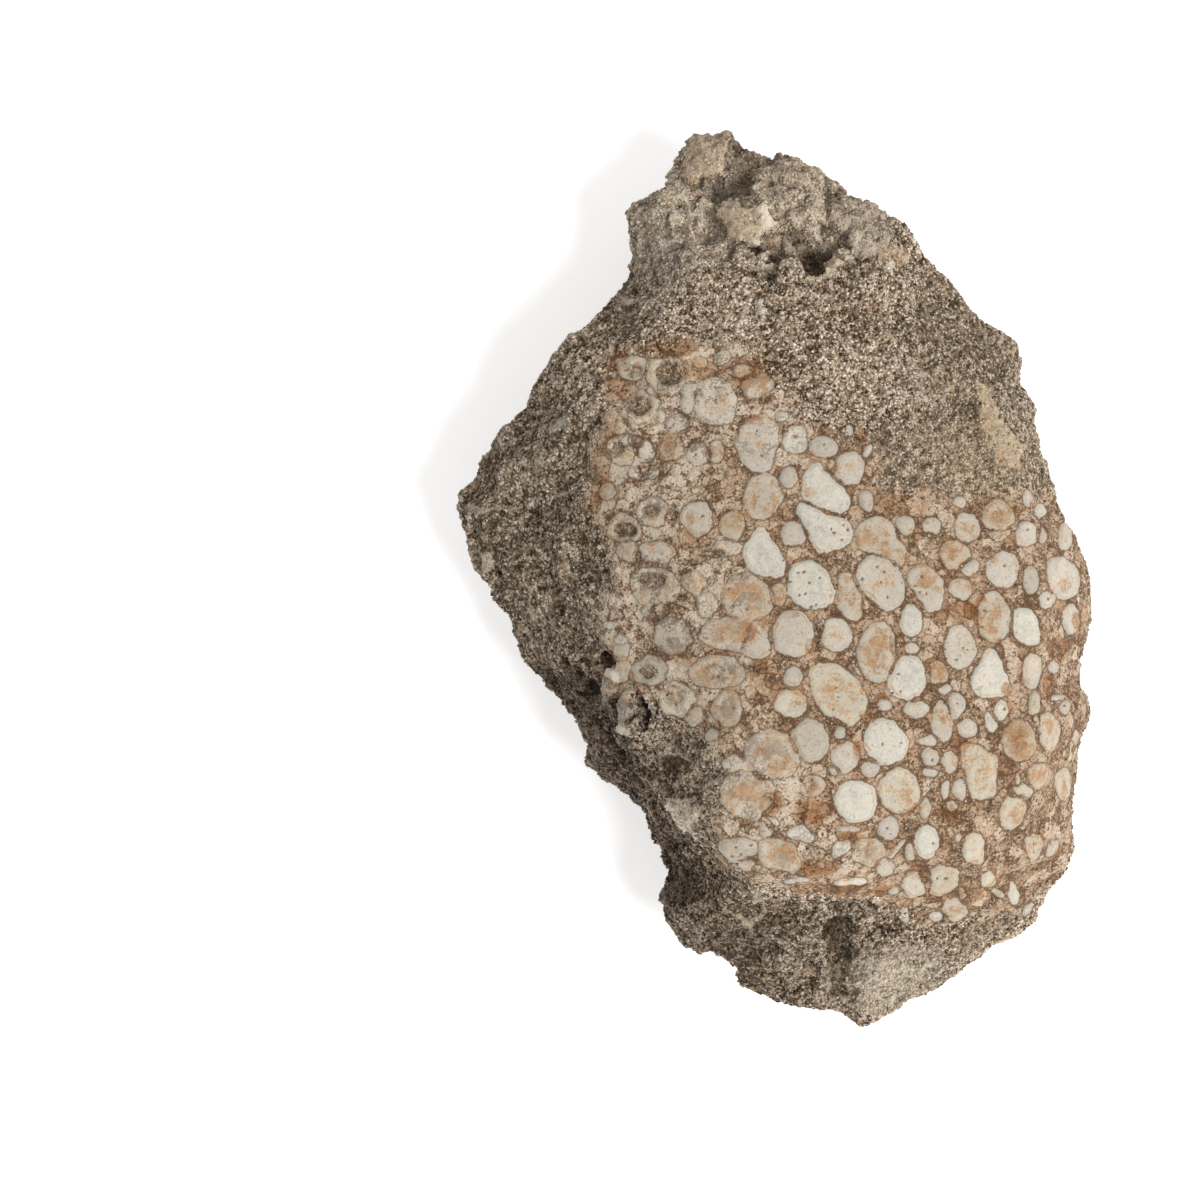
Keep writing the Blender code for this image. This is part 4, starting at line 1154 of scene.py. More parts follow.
# %% Move both nets
LENS_DIP = 0.40
LENS_RISE = 0.02
STONE_GIVES = 0.60

lens_points = numbers(coral_face.data, "vertices", "co", 3) / MM
dip = -LENS_DIP * (1.0 - soft_step(from_border(lens_points), 0.0, 0.9)) + LENS_RISE
dress(coral_face, dip)

stone_points = numbers(stone.data, "vertices", "co", 3) / MM
stone_normals = numbers(stone.data, "vertices", "normal", 3)
inside = coral_inset(*pixel_of(stone_points)) > -PATCH_MARGIN
inside &= stone_normals[:, 2] > LEAST_UPWARD
room = np.where(inside, from_border(stone_points), 0.0)
dress(stone, -STONE_GIVES * soft_step(room, 0.8, 2.0))

# %% [markdown]
# ## Closing the coral face
# The coral is solid stone, so its piece should be a closed mesh as well, not an open sheet. It
# could be given a thickness, but a thin shell would poke out of the stone at its border. A fan of
# triangles from the border to one point deep in the stone closes it, unseen.

# %% Close the coral face below
PATCH_HEART = (6.0, -8.0, 12.0)


def close_below(obj):
    """Closes an open net with a fan of triangles to one point inside the stone."""
    work = bmesh.new()
    work.from_mesh(obj.data)
    rim = [edge for edge in work.edges if edge.is_boundary]
    heart = work.verts.new(Vector(PATCH_HEART) * MM)
    for edge in rim:
        loop = edge.link_loops[0]
        start, end = loop.vert, loop.link_loop_next.vert
        work.faces.new((end, start, heart)).smooth = True
    work.to_mesh(obj.data)
    work.free()


close_below(coral_face)
print("coral face closed:", len(coral_face.data.polygons), "faces")

# %% [markdown]
# ## One function adds a node
# A procedural material is a tree of small nodes. Written out in full, each takes four or five
# lines, so one function adds a node of any kind: it sets or links its inputs, and returns one of
# its outputs. Inputs go by name or by number. A Math node's are 0, 1 and 2, and a VectorMath
# node's scale is 3. A MapRange node's 0 is the value, 1 and 2 are where it starts and ends, and 3
# and 4 are what these become, 0 and 1 where they aren't given. A Mix node's 0 is the share of the
# second value over the first, which are 6 and 7 for colours and 2 and 3 for numbers.

# %% Add a node
def add(tree, kind, inputs=(), out=0, stops=(), **settings):
    """Adds a node, sets or links its inputs, and returns one of its outputs."""
    made = tree.nodes.new("ShaderNode" + kind)
    for name, value in settings.items():
        setattr(made, name, value)
    for name, value in dict(inputs).items():
        if isinstance(value, bpy.types.NodeSocket):
            tree.links.new(value, made.inputs[name])
        else:
            made.inputs[name].default_value = value
    for place, colour in dict(stops).items():
        made.color_ramp.elements.new(place).color = colour
    if stops:
        made.color_ramp.elements.remove(made.color_ramp.elements[-1])
        made.color_ramp.elements.remove(made.color_ramp.elements[0])
    return made.outputs[out]


def per_mm(size):
    """Texture scale for a pattern of that many mm, where coordinates are in metres."""
    return 1.0 / (size * MM)


print("a pattern of 2 mm has the scale", per_mm(2.0))

# %% [markdown]
# ## Limestone: the patterns of its grain
# The stone is a bioclastic limestone: shell sand and calcite grains of 0.3 to 0.6 mm, cemented
# and broken, so it is matt and looks like salt and pepper. Worn calcite, iron oxide and grime
# are mixed into the same material, by the numbers on the points, so that their borders stay as
# thin as they are. A few random patterns of real sizes are enough for all of it.

# %% Start the stone's material with its patterns
GRIT_WIDTH = 0.26
GRAIN_WIDTH = 0.36
CRUMB_WIDTH = 0.75
CLOUD_WIDTH = 2.3
SLOW_WIDTH = 9.0

stone_finish = bpy.data.materials.new("bioclastic limestone with calcite coral")
stone_finish.use_nodes = True
tree = stone_finish.node_tree
stone_surface = tree.nodes["Principled BSDF"]
place = add(tree, "TexCoord", out="Object")
scaled = {"Vector": place, "Scale": per_mm(GRIT_WIDTH), "Detail": 2.0}
grit = add(tree, "TexNoise", scaled)
scaled = {"Vector": place, "Scale": per_mm(CRUMB_WIDTH), "Detail": 5.0, "Roughness": 0.65}
crumb = add(tree, "TexNoise", scaled)
scaled = {"Vector": place, "Scale": per_mm(CLOUD_WIDTH), "Detail": 6.0, "Roughness": 0.66}
cloud = add(tree, "TexNoise", scaled)
slow = add(tree, "TexNoise", {"Vector": place, "Scale": per_mm(SLOW_WIDTH), "Detail": 3.0})
cells = add(tree, "TexVoronoi", {"Vector": place, "Scale": per_mm(GRAIN_WIDTH)}, "Color")
chance = add(tree, "SeparateColor", {"Color": cells}, "Red")
print("patterns:", len(tree.nodes), "nodes")

# %% [markdown]
# ## Limestone: the sandy matrix
# Each grain of the sand has its own tone, from brown clay to pale shell. The patterns are added
# up, each times its share, and a colour ramp turns the sum into three tones. Ridges are rubbed
# pale and get a painted highlight, and dirt and painted shade keep the hollows dark.

# %% Salt and pepper of the matrix
MATRIX_TONES = {0.12: linear("4A3725"), 0.48: linear("948069"), 0.90: linear("E6D6C2")}

# The ridge number lifts ridges (wear and a painted highlight) and darkens hollows (dirt and painted
# shade).
ridge = add(tree, "Attribute", out="Fac", attribute_name="ridge")
tone = add(tree, "MapRange", {0: slow, 1: 0.3, 2: 0.7, 3: -1.03, 4: -0.79})
for pattern, share in ((chance, 0.40), (crumb, 0.9), (grit, 1.5), (ridge, 0.8)):
    tone = add(tree, "Math", {0: pattern, 1: share, 2: tone}, operation="MULTIPLY_ADD")
colour = add(tree, "ValToRGB", {"Fac": tone}, stops=MATRIX_TONES)
print("matrix:", len(MATRIX_TONES), "tones")

# %% [markdown]
# ## Limestone: the filling between the cups
# Between the cups the sand is finer and browner, with angular shell fragments of 1 to 2 mm and
# dark seams between them. Right beside each cup's wall it is darker, partly from dirt and partly
# as painted shade. Where calcite has grown in it, it is milky. A cell pattern gives the
# fragments, and crumbs pull its borders about, so that none of them is straight.

# %% Filling between the cups
JOINT_TONES = {0.06: linear("624832"), 0.34: linear("8A6F56"), 0.58: linear("AC957E"),
               0.90: linear("CDBFAC")}
FRAGMENT_WIDTH = 1.5
FRAGMENT_PULL = 0.9

wall = add(tree, "Attribute", out="Fac", attribute_name="wall")
milk = add(tree, "Attribute", out="Fac", attribute_name="milk")
# The filling starts darker at a cup's wall and reaches its own tone 0.7 mm out: dirt and painted
# shade.
mix = add(tree, "MapRange", {0: wall, 1: 0.0, 2: 0.7, 3: -3.05, 4: -2.91})
milky = add(tree, "Math", {0: cloud, 1: 1.6, 2: -0.58}, operation="MULTIPLY_ADD")
for pattern, share in ((milk, milky), (chance, 0.16), (cloud, 2.1), (crumb, 1.7), (grit, 1.75)):
    mix = add(tree, "Math", {0: pattern, 1: share, 2: mix}, operation="MULTIPLY_ADD")
pulled = {0: crumb.node.outputs["Color"], 1: (FRAGMENT_PULL * MM,) * 3, 2: place}
pulled = add(tree, "VectorMath", pulled, operation="MULTIPLY_ADD")
scaled = {"Vector": pulled, "Scale": per_mm(FRAGMENT_WIDTH)}
fragment = add(tree, "TexVoronoi", scaled, "Color")
fragment = add(tree, "SeparateColor", {"Color": fragment}, "Blue")
mix = add(tree, "Math", {0: fragment, 1: 0.56, 2: mix}, operation="MULTIPLY_ADD")
seam = add(tree, "TexVoronoi", scaled, "Distance", feature="DISTANCE_TO_EDGE")
seam = add(tree, "MapRange", {0: seam, 1: 0.0, 2: 0.10, 3: 0.0, 4: 0.36})
mix = add(tree, "Math", {0: mix, 1: seam}, operation="ADD")
filling = add(tree, "ValToRGB", {"Fac": mix}, stops=JOINT_TONES)
print("filling:", len(JOINT_TONES), "tones")

# %% [markdown]
# ## Limestone: border of the coral, tinted faces and chips
# The border of the coral is torn by the clouds, or it would show as a clean line. Outside it, the
# tints of the broken faces cover the sand, but keep a little of its grain.

# %% Border and tints
coral = add(tree, "Attribute", out="Fac", attribute_name="coral")
torn = add(tree, "Math", {0: cloud, 1: 3.8, 2: coral}, operation="MULTIPLY_ADD")
in_patch = add(tree, "MapRange", {0: torn, 1: 2.16, 2: 2.46})
colour = add(tree, "Mix", {0: in_patch, 6: colour, 7: filling}, 2, data_type="RGBA")
tint = add(tree, "Attribute", out="Color", attribute_name="tint")
covers = add(tree, "Attribute", out="Alpha", attribute_name="tint")
bare = add(tree, "Math", {0: 1.0, 1: in_patch}, operation="SUBTRACT")
covers = add(tree, "Math", {0: covers, 1: bare}, operation="MULTIPLY")
shade = add(tree, "MapRange", {0: tone, 1: 0.1, 2: 0.9, 3: 0.74, 4: 1.22})
tinted = add(tree, "VectorMath", {0: tint, 3: shade}, operation="SCALE")
colour = add(tree, "Mix", {0: covers, 6: colour, 7: tinted}, 2, data_type="RGBA")
print("with the border and the tints:", len(tree.nodes), "nodes")

# %% [markdown]
# ## Calcite: the worn cups
# A cup is calcite, ground flat by wear. It is pale, a little cloudy, darker towards its wall, and
# here and there a faint growth ring shows. The wall is where the distance on the points crosses
# zero. Crumbs and grit shift it by up to 0.2 mm, as a real wall is never quite smooth. Where the
# calcite is milky, the cup lets some of the filling through.

# %% Worn calcite
RING_TAN = linear("9A8870")
RING_INSET = 0.42

for pattern, shift in ((crumb, 0.17), (grit, 0.06)):
    uneven = add(tree, "MapRange", {0: pattern, 1: 0.25, 2: 0.75, 3: -shift, 4: shift})
    wall = add(tree, "Math", {0: wall, 1: uneven}, operation="ADD")
in_cup = add(tree, "MapRange", {0: wall, 1: 0.04, 2: -0.14}, interpolation_type="SMOOTHSTEP")
mottle = add(tree, "MapRange", {0: wall, 1: -0.55, 2: 0.0, 3: -0.07, 4: -0.20})
for pattern, share in ((milk, 0.10), (crumb, 0.70), (grit, 0.55), (cloud, 0.85)):
    mottle = add(tree, "Math", {0: pattern, 1: share, 2: mottle}, operation="MULTIPLY_ADD")
cup = add(tree, "Attribute", out="Color", attribute_name="cup")
cup = add(tree, "VectorMath", {0: cup, 3: mottle}, operation="SCALE")
ring = add(tree, "Math", {0: wall, 1: RING_INSET}, operation="ADD")
ring = add(tree, "Math", {0: ring}, operation="ABSOLUTE")
ring = add(tree, "MapRange", {0: ring, 1: 0.14, 2: 0.02})
here = add(tree, "MapRange", {0: cloud, 1: 0.44, 2: 0.62, 4: 0.5})
ring = add(tree, "Math", {0: ring, 1: here}, operation="MULTIPLY")
cup = add(tree, "Mix", {0: ring, 6: cup, 7: RING_TAN}, 2, data_type="RGBA")
fades = add(tree, "MapRange", {0: mix, 1: 0.15, 2: 0.50, 3: 0.70, 4: 0.1})
fades = add(tree, "Math", {0: fades, 1: milk}, operation="MULTIPLY")
shows = add(tree, "Math", {0: 1.0, 1: fades}, operation="SUBTRACT")
covered = add(tree, "Math", {0: shows, 1: in_cup}, operation="MULTIPLY")
colour = add(tree, "Mix", {0: covered, 6: colour, 7: cup}, 2, data_type="RGBA")
print("with the cups:", len(tree.nodes), "nodes")

# %% [markdown]
# ## Iron oxide: where it has crept in
# Water has carried iron along the joints and cracks. The stain of a cup is its look's share of
# rust, stronger in its middle, and the listed stains come on top. Thin veins follow the clouds.

# %% How much iron
VEIN_BROWN = linear("876A4C")

rust = add(tree, "Attribute", out="Fac", attribute_name="rust")
core = add(tree, "MapRange", {0: wall, 1: -0.35, 2: -1.3, 3: 0.60, 4: 1.30})
rust = add(tree, "Math", {0: rust, 1: core}, operation="MULTIPLY")
open_rust = add(tree, "MapRange", {0: milk, 3: 0.26, 4: 0.0})
stain = add(tree, "Mix", {0: in_cup, 2: open_rust, 3: rust})
stain = add(tree, "Math", {0: stain, 1: in_patch}, operation="MULTIPLY")
iron = add(tree, "Attribute", out="Fac", attribute_name="iron")
iron = add(tree, "Math", {0: iron, 1: 0.85}, operation="MULTIPLY")
stain = add(tree, "Math", {0: stain, 1: iron}, operation="MAXIMUM")
vein = add(tree, "Math", {0: cloud, 1: 0.52}, operation="SUBTRACT")
vein = add(tree, "Math", {0: vein}, operation="ABSOLUTE")
vein = add(tree, "MapRange", {0: vein, 1: 0.014, 2: 0.0, 4: 0.9})
cracked = add(tree, "Math", {0: stain, 1: 0.16}, operation="ADD")
vein = add(tree, "Math", {0: vein, 1: cracked}, operation="MULTIPLY")
colour = add(tree, "Mix", {0: vein, 6: colour, 7: VEIN_BROWN}, 2, data_type="RGBA")
print("with the veins:", len(tree.nodes), "nodes")

# %% [markdown]
# ## Iron oxide: thin and thick
# A stain is a film on the stone, so it multiplies the colour below it, as a glaze does: tan
# where it is thin, orange where it is thick. The patterns give it a spotted edge.

# %% Thin and thick stains
RUST_THIN = linear("E8D2B8")
RUST_THICK = linear("D0A27A")

edge = add(tree, "Math", {0: wall}, operation="ABSOLUTE")
edge = add(tree, "MapRange", {0: edge, 1: 0.7, 2: 0.0, 4: 0.07})
stain = add(tree, "Math", {0: stain, 1: 0.44, 2: edge}, operation="MULTIPLY_ADD")
for pattern, share in ((grit, 0.6), (crumb, 0.9), (cloud, 1.2)):
    stain = add(tree, "Math", {0: pattern, 1: share, 2: stain}, operation="MULTIPLY_ADD")
films = ((1.48, 1.72, 0.90, RUST_THIN), (1.58, 2.00, 0.95, RUST_THICK))
for start, end, most, film in films:
    share = add(tree, "MapRange", {0: stain, 1: start, 2: end, 4: most})
    stained = {0: share, 6: colour, 7: film}
    colour = add(tree, "Mix", stained, 2, data_type="RGBA", blend_type="MULTIPLY")
print("with the stains:", len(tree.nodes), "nodes")

# %% [markdown]
# ## Calcite: the walls round the cups
# The wall of each cup is a thin brown line, fainter in places. It is drawn by the distance again:
# all that is within 0.2 mm of zero.

# %% Walls
WALL_BROWN = linear("6A513B")
WALL_HALF = 0.21

line = add(tree, "Math", {0: wall}, operation="ABSOLUTE")
line = add(tree, "MapRange", {0: line, 1: WALL_HALF, 2: 0.0}, interpolation_type="SMOOTHSTEP")
faded = add(tree, "MapRange", {0: cloud, 1: 0.38, 2: 0.60, 3: 0.90, 4: 0.30})
for share in (faded, shows):
    line = add(tree, "Math", {0: line, 1: share}, operation="MULTIPLY")
colour = add(tree, "Mix", {0: line, 6: colour, 7: WALL_BROWN}, 2, data_type="RGBA")
print("with the walls:", len(tree.nodes), "nodes")

# %% [markdown]
# ## Grime: hollow middles, dark sand and pores
# Dirt and dark sand stay where the stone is hollow. They have the grain of the matrix, in darker
# tones. Pores of 0.2 mm dot the cups, one in two of five cells of a pattern.

# %% Grime and pores
GRIME_TONES = {0.10: linear("3A2B1D"), 0.50: linear("725C46"), 0.90: linear("BBA78D")}
SPECK_BROWN = linear("64503C")
PORE_SPACING = 0.62

pore = add(tree, "TexVoronoi", {"Vector": place, "Scale": per_mm(PORE_SPACING)}, "Distance")
rare = add(tree, "SeparateColor", {"Color": pore.node.outputs["Color"]}, "Green")
rare = add(tree, "Math", {0: rare, 1: 0.60}, operation="GREATER_THAN")
pore = add(tree, "MapRange", {0: pore, 1: 0.26, 2: 0.08, 4: 0.50})
for share in (rare, in_cup):
    pore = add(tree, "Math", {0: pore, 1: share}, operation="MULTIPLY")
hollow = add(tree, "Attribute", out="Fac", attribute_name="hollow")
sand = add(tree, "Attribute", out="Fac", attribute_name="sand")
dark = add(tree, "Math", {0: hollow, 1: sand}, operation="MAXIMUM")
dark = add(tree, "Math", {0: dark, 1: 0.42}, operation="MULTIPLY")
dark = add(tree, "Math", {0: crumb, 1: 0.8, 2: dark}, operation="MULTIPLY_ADD")
dark = add(tree, "MapRange", {0: dark, 1: 0.60, 2: 0.78, 4: 0.92})
dark = add(tree, "Math", {0: dark, 1: pore}, operation="MAXIMUM")
grime = add(tree, "ValToRGB", {"Fac": tone}, stops=GRIME_TONES)
colour = add(tree, "Mix", {0: dark, 6: colour, 7: grime}, 2, data_type="RGBA")
speck = add(tree, "Attribute", out="Fac", attribute_name="speck")
speck = add(tree, "Math", {0: crumb, 1: 0.8, 2: speck}, operation="MULTIPLY_ADD")
speck = add(tree, "MapRange", {0: speck, 1: 0.72, 2: 1.10, 4: 0.80})
colour = add(tree, "Mix", {0: speck, 6: colour, 7: SPECK_BROWN}, 2, data_type="RGBA")
tree.links.new(colour, stone_surface.inputs["Base Color"])
print("all colours of the stone:", len(tree.nodes), "nodes")

# %% [markdown]
# ## Gloss and the finest grain
# Broken grains scatter all light. Worn calcite keeps a weak, wide gloss. The edges of the finest
# grains are smaller than the squares of the net, so these alone are left to a bump.

# %% Gloss and bump, and both pieces get the material
CALCITE_IOR = 1.5
WEAK_GLOSS = 0.25
MATT = 0.93
WORN = 0.70

gloss = add(tree, "MapRange", {0: in_cup, 3: MATT, 4: WORN})
tree.links.new(gloss, stone_surface.inputs["Roughness"])
stone_surface.inputs["IOR"].default_value = CALCITE_IOR
stone_surface.inputs["Specular IOR Level"].default_value = WEAK_GLOSS
rough = add(tree, "MapRange", {0: in_cup, 3: 1.0, 4: 0.25})
height = add(tree, "Math", {0: grit, 1: rough}, operation="MULTIPLY")
bump = {"Height": height, "Distance": 0.25 * MM, "Strength": 0.9}
tree.links.new(add(tree, "Bump", bump), stone_surface.inputs["Normal"])
for piece in (stone, coral_face):
    piece.data.materials.clear()
    piece.data.materials.append(stone_finish)
print("stone material:", len(tree.nodes), "nodes")

# %% [markdown]
# ## Where the grains of the matrix lie
# Close up, the matrix is a crust of single grains: shell splinters, calcite chips and sand, each
# with its own tone. A bump gives such grains no shadow and no outline against the floor, so the
# outer layer is modelled. Grains lie thick on the broken matrix and in the pockets of dark sand,
# thin on smooth faces, and not at all on whole cups. A triangle gets them by its size and weight.

# %% Places for the grains
random = np.random.default_rng(20)


def attribute(mesh, name):
    """A number kept on a mesh's points."""
    values = np.empty(len(mesh.vertices), np.float32)
    mesh.attributes[name].data.foreach_get("value", values)
    return values.astype(float)


def grain_weight(mesh, points, normals):
    """How densely grains lie: thick on broken matrix, few on smooth faces, none on cups."""
    names = ("wall", "coral", "sand", "hollow", "calm")
    wall, coral, sand, hollow, calm = (attribute(mesh, name) for name in names)
    weight = np.maximum(1.0 - 0.75 * coral**2, np.maximum(sand, hollow))
    weight *= 1.0 - 0.9 * calm
    on_cup = soft_step(-wall, -0.1, 0.1) * (1.0 - hollow)
    weight *= 1.0 - on_cup
    weight *= 0.35 + 0.65 * soft_step(normals[:, 2], -0.7, -0.1)
    return weight * (points[:, 2] > 1.2)


def scatter(obj, count):
    """Random places on an object's triangles, with their normals and nearest corner."""
    mesh = obj.data
    points = numbers(mesh, "vertices", "co", 3) / MM
    normals = numbers(mesh, "vertices", "normal", 3)
    weight = grain_weight(mesh, points, normals)
    mesh.calc_loop_triangles()
    corners = numbers(mesh, "loop_triangles", "vertices", 3).astype(int)
    a, b, c = (points[corners[:, k]] for k in range(3))
    area = np.linalg.norm(np.cross(b - a, c - a), axis=1) / 2
    share = np.cumsum(area * weight[corners].mean(axis=1))
    chosen = np.searchsorted(share, random.random(count) * share[-1])
    u, v = random.random((2, count))
    flip = u + v > 1.0
    u, v = np.where(flip, 1.0 - u, u)[:, None], np.where(flip, 1.0 - v, v)[:, None]
    places = a[chosen] + u * (b - a)[chosen] + v * (c - a)[chosen]
    return places, normals[corners[chosen, 0]], corners[chosen, 0]


print("grains lie on", len(stone.data.polygons), "squares of the stone, by their weight")

# %% [markdown]
# ## Building the grains
# A real grain is a broken crystal. Here it is a six-sided one, stretched, turned at random and
# half sunk. It keeps a random tone and the tint of the stone below it. Instances would be
# lighter, but only real meshes are exported. All grains of a piece are one mesh, filled in bulk,
# because a loop over 28,000 objects would take minutes.

# %% Build the grains
GRAINS_PER_PIECE = 28000
GRAIN_PIECES = 3
GRAIN_HALF = (0.13, 0.30)
JOINT_GRAINS = 16000
JOINT_GRAIN_HALF = (0.08, 0.20)
GRAIN_STRETCH = (0.75, 1.45)
GRAIN_FLAT = 0.35
GRAIN_RISE = 0.15
CRYSTAL = np.array([(1, 0, 0), (-0.5, 0.87, 0), (-0.5, -0.87, 0), (0, 0, 1), (0, 0, -1)])
CRYSTAL_FACES = np.array([(0, 1, 3), (1, 2, 3), (2, 0, 3), (1, 0, 4), (2, 1, 4), (0, 2, 4)])
CORNERS = len(CRYSTAL)


def random_turns(count):
    """That many random rotation matrices."""
    w, x, y, z = random.normal(size=(4, count))
    length = np.sqrt(w * w + x * x + y * y + z * z)
    w, x, y, z = w / length, x / length, y / length, z / length
    rows = [
        [1 - 2 * (y * y + z * z), 2 * (x * y - z * w), 2 * (x * z + y * w)],
        [2 * (x * y + z * w), 1 - 2 * (x * x + z * z), 2 * (y * z - x * w)],
        [2 * (x * z - y * w), 2 * (y * z + x * w), 1 - 2 * (x * x + y * y)],
    ]
    return np.array(rows).transpose(2, 0, 1)


def grain_points(places, normals, sizes):
    """Corners in mm of one crystal at each place: stretched, turned, flattened and half sunk."""
    count = len(places)
    small, large = sizes
    half = small + (large - small) * random.random(count) ** 2.0
    stretch = random.uniform(*GRAIN_STRETCH, (count, CORNERS, 1))
    shape = CRYSTAL[None] * stretch * half[:, None, None]
    shape = np.einsum("nij,nkj->nki", random_turns(count), shape)
    height = np.einsum("nki,ni->nk", shape, normals)
    shape -= GRAIN_FLAT * height[..., None] * normals[:, None]
    centre = places + normals * (GRAIN_RISE * half)[:, None]
    return in_cad_box((centre[:, None] + shape).reshape(-1, 3))


def grain_piece(name, source, count, sizes):
    """One mesh of many grains, each with a tone and the tints of the stone below it."""
    places, normals, nearest = scatter(source, count)
    points = grain_points(places, normals, sizes)
    faces = (CRYSTAL_FACES[None] + CORNERS * np.arange(count)[:, None, None]).reshape(-1, 3)
    mesh = bpy.data.meshes.new(name)
    mesh.vertices.add(len(points))
    mesh.vertices.foreach_set("co", (points * MM).astype(np.float32).ravel())
    mesh.loops.add(faces.size)
    mesh.loops.foreach_set("vertex_index", faces.ravel().astype(np.int32))
    mesh.polygons.add(len(faces))
    mesh.polygons.foreach_set("loop_start", np.arange(0, faces.size, 3, dtype=np.int32))
    mesh.update()
    mesh.validate()
    keep(mesh, "tone", np.repeat(random.random(count), CORNERS))
    # Grains carry the ridge number too: wear and a painted highlight, dirt and painted shade.
    for kept in ("coral", "iron", "ridge"):
        keep(mesh, kept, np.repeat(attribute(source.data, kept)[nearest], CORNERS))
    tint = np.empty(len(source.data.vertices) * 4, np.float32)
    source.data.attributes["tint"].data.foreach_get("color", tint)
    keep(mesh, "tint", np.repeat(tint.reshape(-1, 4)[nearest], CORNERS, axis=0))
    piece = bpy.data.objects.new(name, mesh)
    bpy.context.scene.collection.objects.link(piece)
    return piece


grains = []
for number in range(GRAIN_PIECES):
    grains.append(grain_piece(f"matrix_grains_{number + 1}", stone, GRAINS_PER_PIECE, GRAIN_HALF))
grains.append(grain_piece("joint_grains", coral_face, JOINT_GRAINS, JOINT_GRAIN_HALF))
print("grains:", sum(len(piece.data.polygons) for piece in grains), "triangles")

# %% [markdown]
# ## Calcite and shell sand: the grains' material
# The grains are broken calcite and shell sand, so they are a little glossier than the crust of
# dirt and clay between them. Their tone takes the place of the grain pattern of the stone, and
# everything else follows the stone: its tones, its tints, its rust, and the wear and painted
# shade of its ridges and hollows.

# %% Calcite and shell sand
CHIP_WIDTH = 0.12

grain_finish = bpy.data.materials.new("calcite and shell sand")
grain_finish.use_nodes = True
tree = grain_finish.node_tree
grain_surface = tree.nodes["Principled BSDF"]
place = add(tree, "TexCoord", out="Object")
slow = add(tree, "TexNoise", {"Vector": place, "Scale": per_mm(SLOW_WIDTH), "Detail": 3.0})
scaled = {"Vector": place, "Scale": per_mm(CLOUD_WIDTH), "Detail": 6.0, "Roughness": 0.66}
cloud = add(tree, "TexNoise", scaled)
names = ("tone", "ridge", "coral", "iron")
tone, ridge, coral, iron = (add(tree, "Attribute", out="Fac", attribute_name=n) for n in names)
drift = add(tree, "MapRange", {0: slow, 1: 0.3, 2: 0.7, 3: -0.12, 4: 0.12})
tone = add(tree, "Math", {0: tone, 1: drift}, operation="ADD")
# Ridges paler, with wear and a painted highlight; hollows darker, with dirt and painted shade.
tone = add(tree, "Math", {0: ridge, 1: 0.8, 2: tone}, operation="MULTIPLY_ADD")
colour = add(tree, "ValToRGB", {"Fac": tone}, stops=MATRIX_TONES)
filling = add(tree, "ValToRGB", {"Fac": tone}, stops=JOINT_TONES)
colour = add(tree, "Mix", {0: coral, 6: colour, 7: filling}, 2, data_type="RGBA")
tint = add(tree, "Attribute", out="Color", attribute_name="tint")
covers = add(tree, "Attribute", out="Alpha", attribute_name="tint")
shade = add(tree, "MapRange", {0: tone, 1: 0.0, 2: 1.0, 3: 0.55, 4: 1.35})
tinted = add(tree, "VectorMath", {0: tint, 3: shade}, operation="SCALE")
colour = add(tree, "Mix", {0: covers, 6: colour, 7: tinted}, 2, data_type="RGBA")
stain = add(tree, "Math", {0: iron, 1: 0.34, 2: cloud}, operation="MULTIPLY_ADD")
stain = add(tree, "MapRange", {0: stain, 1: 0.62, 2: 0.76, 4: 0.85})
stained = {0: stain, 6: colour, 7: RUST_THIN}
colour = add(tree, "Mix", stained, 2, data_type="RGBA", blend_type="MULTIPLY")
tree.links.new(colour, grain_surface.inputs["Base Color"])
grain_surface.inputs["Roughness"].default_value = 0.75
grain_surface.inputs["IOR"].default_value = CALCITE_IOR
grain_surface.inputs["Specular IOR Level"].default_value = WEAK_GLOSS
chips = add(tree, "TexNoise", {"Vector": place, "Scale": per_mm(CHIP_WIDTH), "Detail": 2.0})
bump = {"Height": chips, "Distance": 0.04 * MM}
tree.links.new(add(tree, "Bump", bump), grain_surface.inputs["Normal"])
for piece in grains:
    piece.data.materials.append(grain_finish)
print("grain material:", len(tree.nodes), "nodes")

# %% [markdown]
# ## Everything rides on the one body
# The lump is one natural piece, so all six pieces ride on its only body. They stand for the CAD
# solid, which stays hidden.

# %% Bind the pieces to the frame
for piece in (stone, coral_face, *grains):
    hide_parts("coral_stone")
    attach(piece, "root")
print("pieces:", [piece.name for piece in (stone, coral_face, *grains)])

# %% [markdown]
# ## Floor
# The lump lies on a plain white sheet. The floor could be left out, but then the lump would have
# no shadow and would seem to float. A little light of its own keeps the sheet white up to the
# edge of the picture.

# %% Floor
FLOOR_SIZE = 3.0
FLOOR_GLOW = 0.49

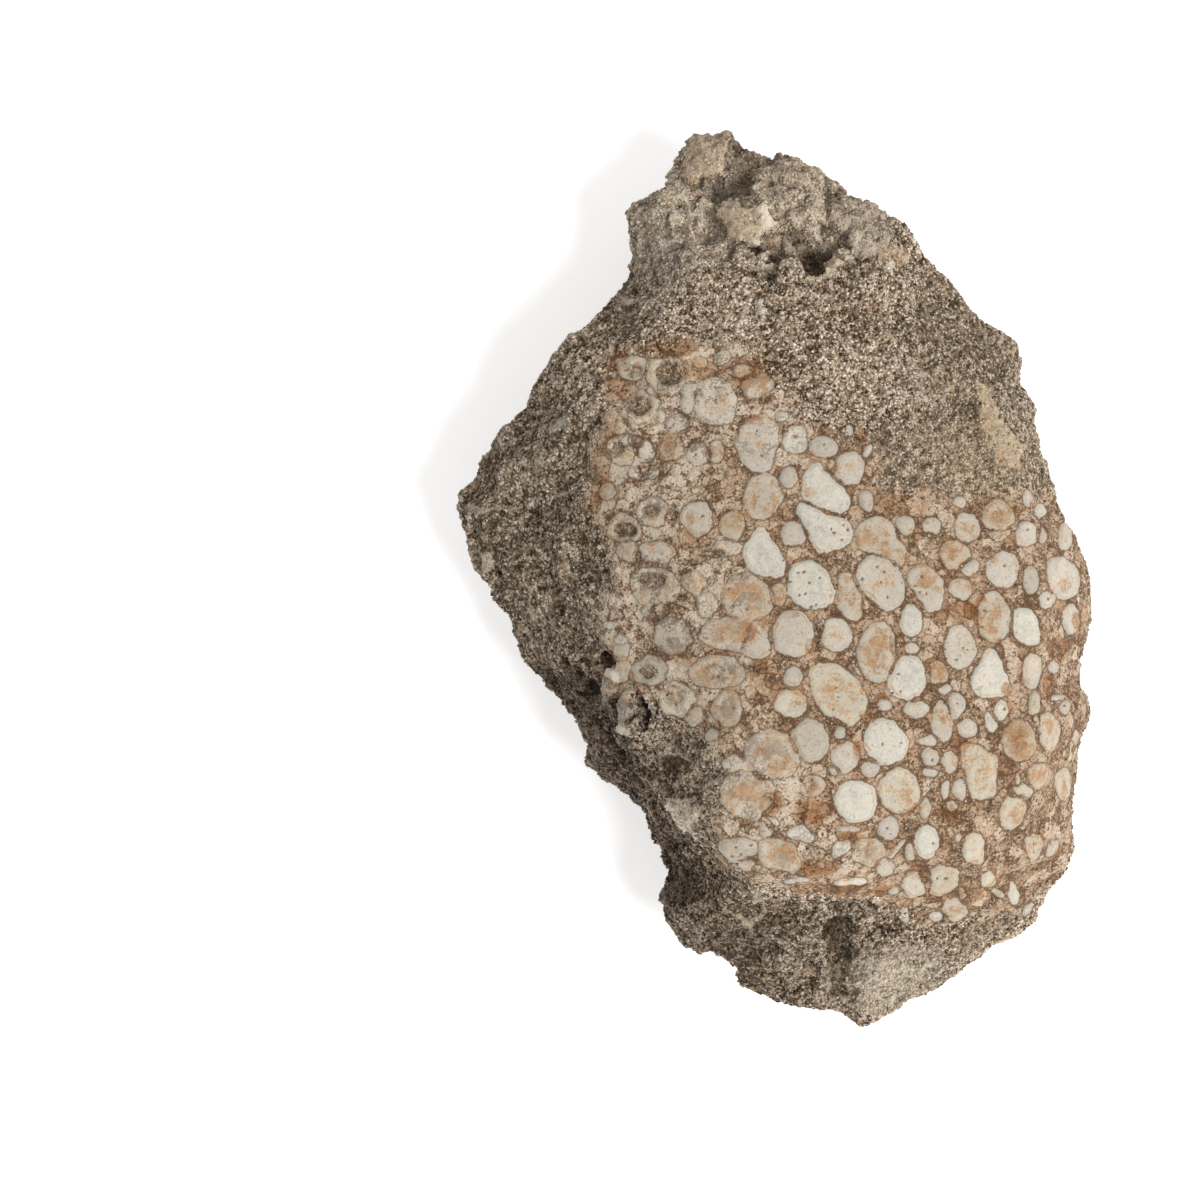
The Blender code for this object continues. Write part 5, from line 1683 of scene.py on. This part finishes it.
floor_mesh = bpy.data.meshes.new("floor")
half = FLOOR_SIZE / 2
floor_mesh.from_pydata(
    [(-half, -half, 0), (half, -half, 0), (half, half, 0), (-half, half, 0)], [], [(0, 1, 2, 3)]
)
floor = bpy.data.objects.new("floor", floor_mesh)
bpy.context.scene.collection.objects.link(floor)
paper = bpy.data.materials.new("white paper")
paper.use_nodes = True
paper_surface = paper.node_tree.nodes["Principled BSDF"]
paper_surface.inputs["Base Color"].default_value = linear("F4F4F4")
paper_surface.inputs["Roughness"].default_value = 0.9
paper_surface.inputs["Emission Color"].default_value = (1, 1, 1, 1)
paper_surface.inputs["Emission Strength"].default_value = FLOOR_GLOW
floor_mesh.materials.append(paper)
print("floor:", FLOOR_SIZE, "m square")

# %% [markdown]
# ## Light
# One wide, soft light comes from the lower right, and a white room fills in the rest, so the
# western faces are darker than the coral face. A sun with a wide disc is used, because its light
# falls alike on the whole lump, and its wide disc blurs the shadow.

# %% Light
KEY_FROM = Vector((0.62, -0.30, 0.95))
KEY_STRENGTH = 2.6
KEY_SPREAD = 25  # degrees
ROOM_STRENGTH = 0.55

key = bpy.data.lights.new("soft key", "SUN")
key.energy = KEY_STRENGTH
key.angle = math.radians(KEY_SPREAD)
key_object = bpy.data.objects.new("soft key", key)
key_object.rotation_euler = KEY_FROM.to_track_quat("Z", "Y").to_euler()
bpy.context.scene.collection.objects.link(key_object)
room = bpy.data.worlds.new("white room")
room.use_nodes = True
room.node_tree.nodes["Background"].inputs["Color"].default_value = (1, 1, 1, 1)
room.node_tree.nodes["Background"].inputs["Strength"].default_value = ROOM_STRENGTH
bpy.context.scene.world = room
bpy.context.scene.view_settings.view_transform = "Standard"
print("key light from", [round(c, 2) for c in KEY_FROM.normalized()])

# %% [markdown]
# ## Camera
# The camera hangs straight above, where the pixel places were worked out from. Its lens is set
# so that the picture is as wide on the floor as those places take it to be.

# %% Camera
SENSOR = 36.0
NEAREST = 0.05
FARTHEST = 10.0

camera = bpy.data.cameras.new("camera")
camera.sensor_width = SENSOR
camera.lens = SENSOR * CAMERA_HEIGHT / FLOOR_WIDTH
camera.clip_start = NEAREST
camera.clip_end = FARTHEST
camera_object = bpy.data.objects.new("camera", camera)
camera_object.location = (CAMERA_X * MM, CAMERA_Y * MM, CAMERA_HEIGHT * MM)
bpy.context.scene.collection.objects.link(camera_object)
bpy.context.scene.camera = camera_object
print("lens:", round(camera.lens, 1), "mm")
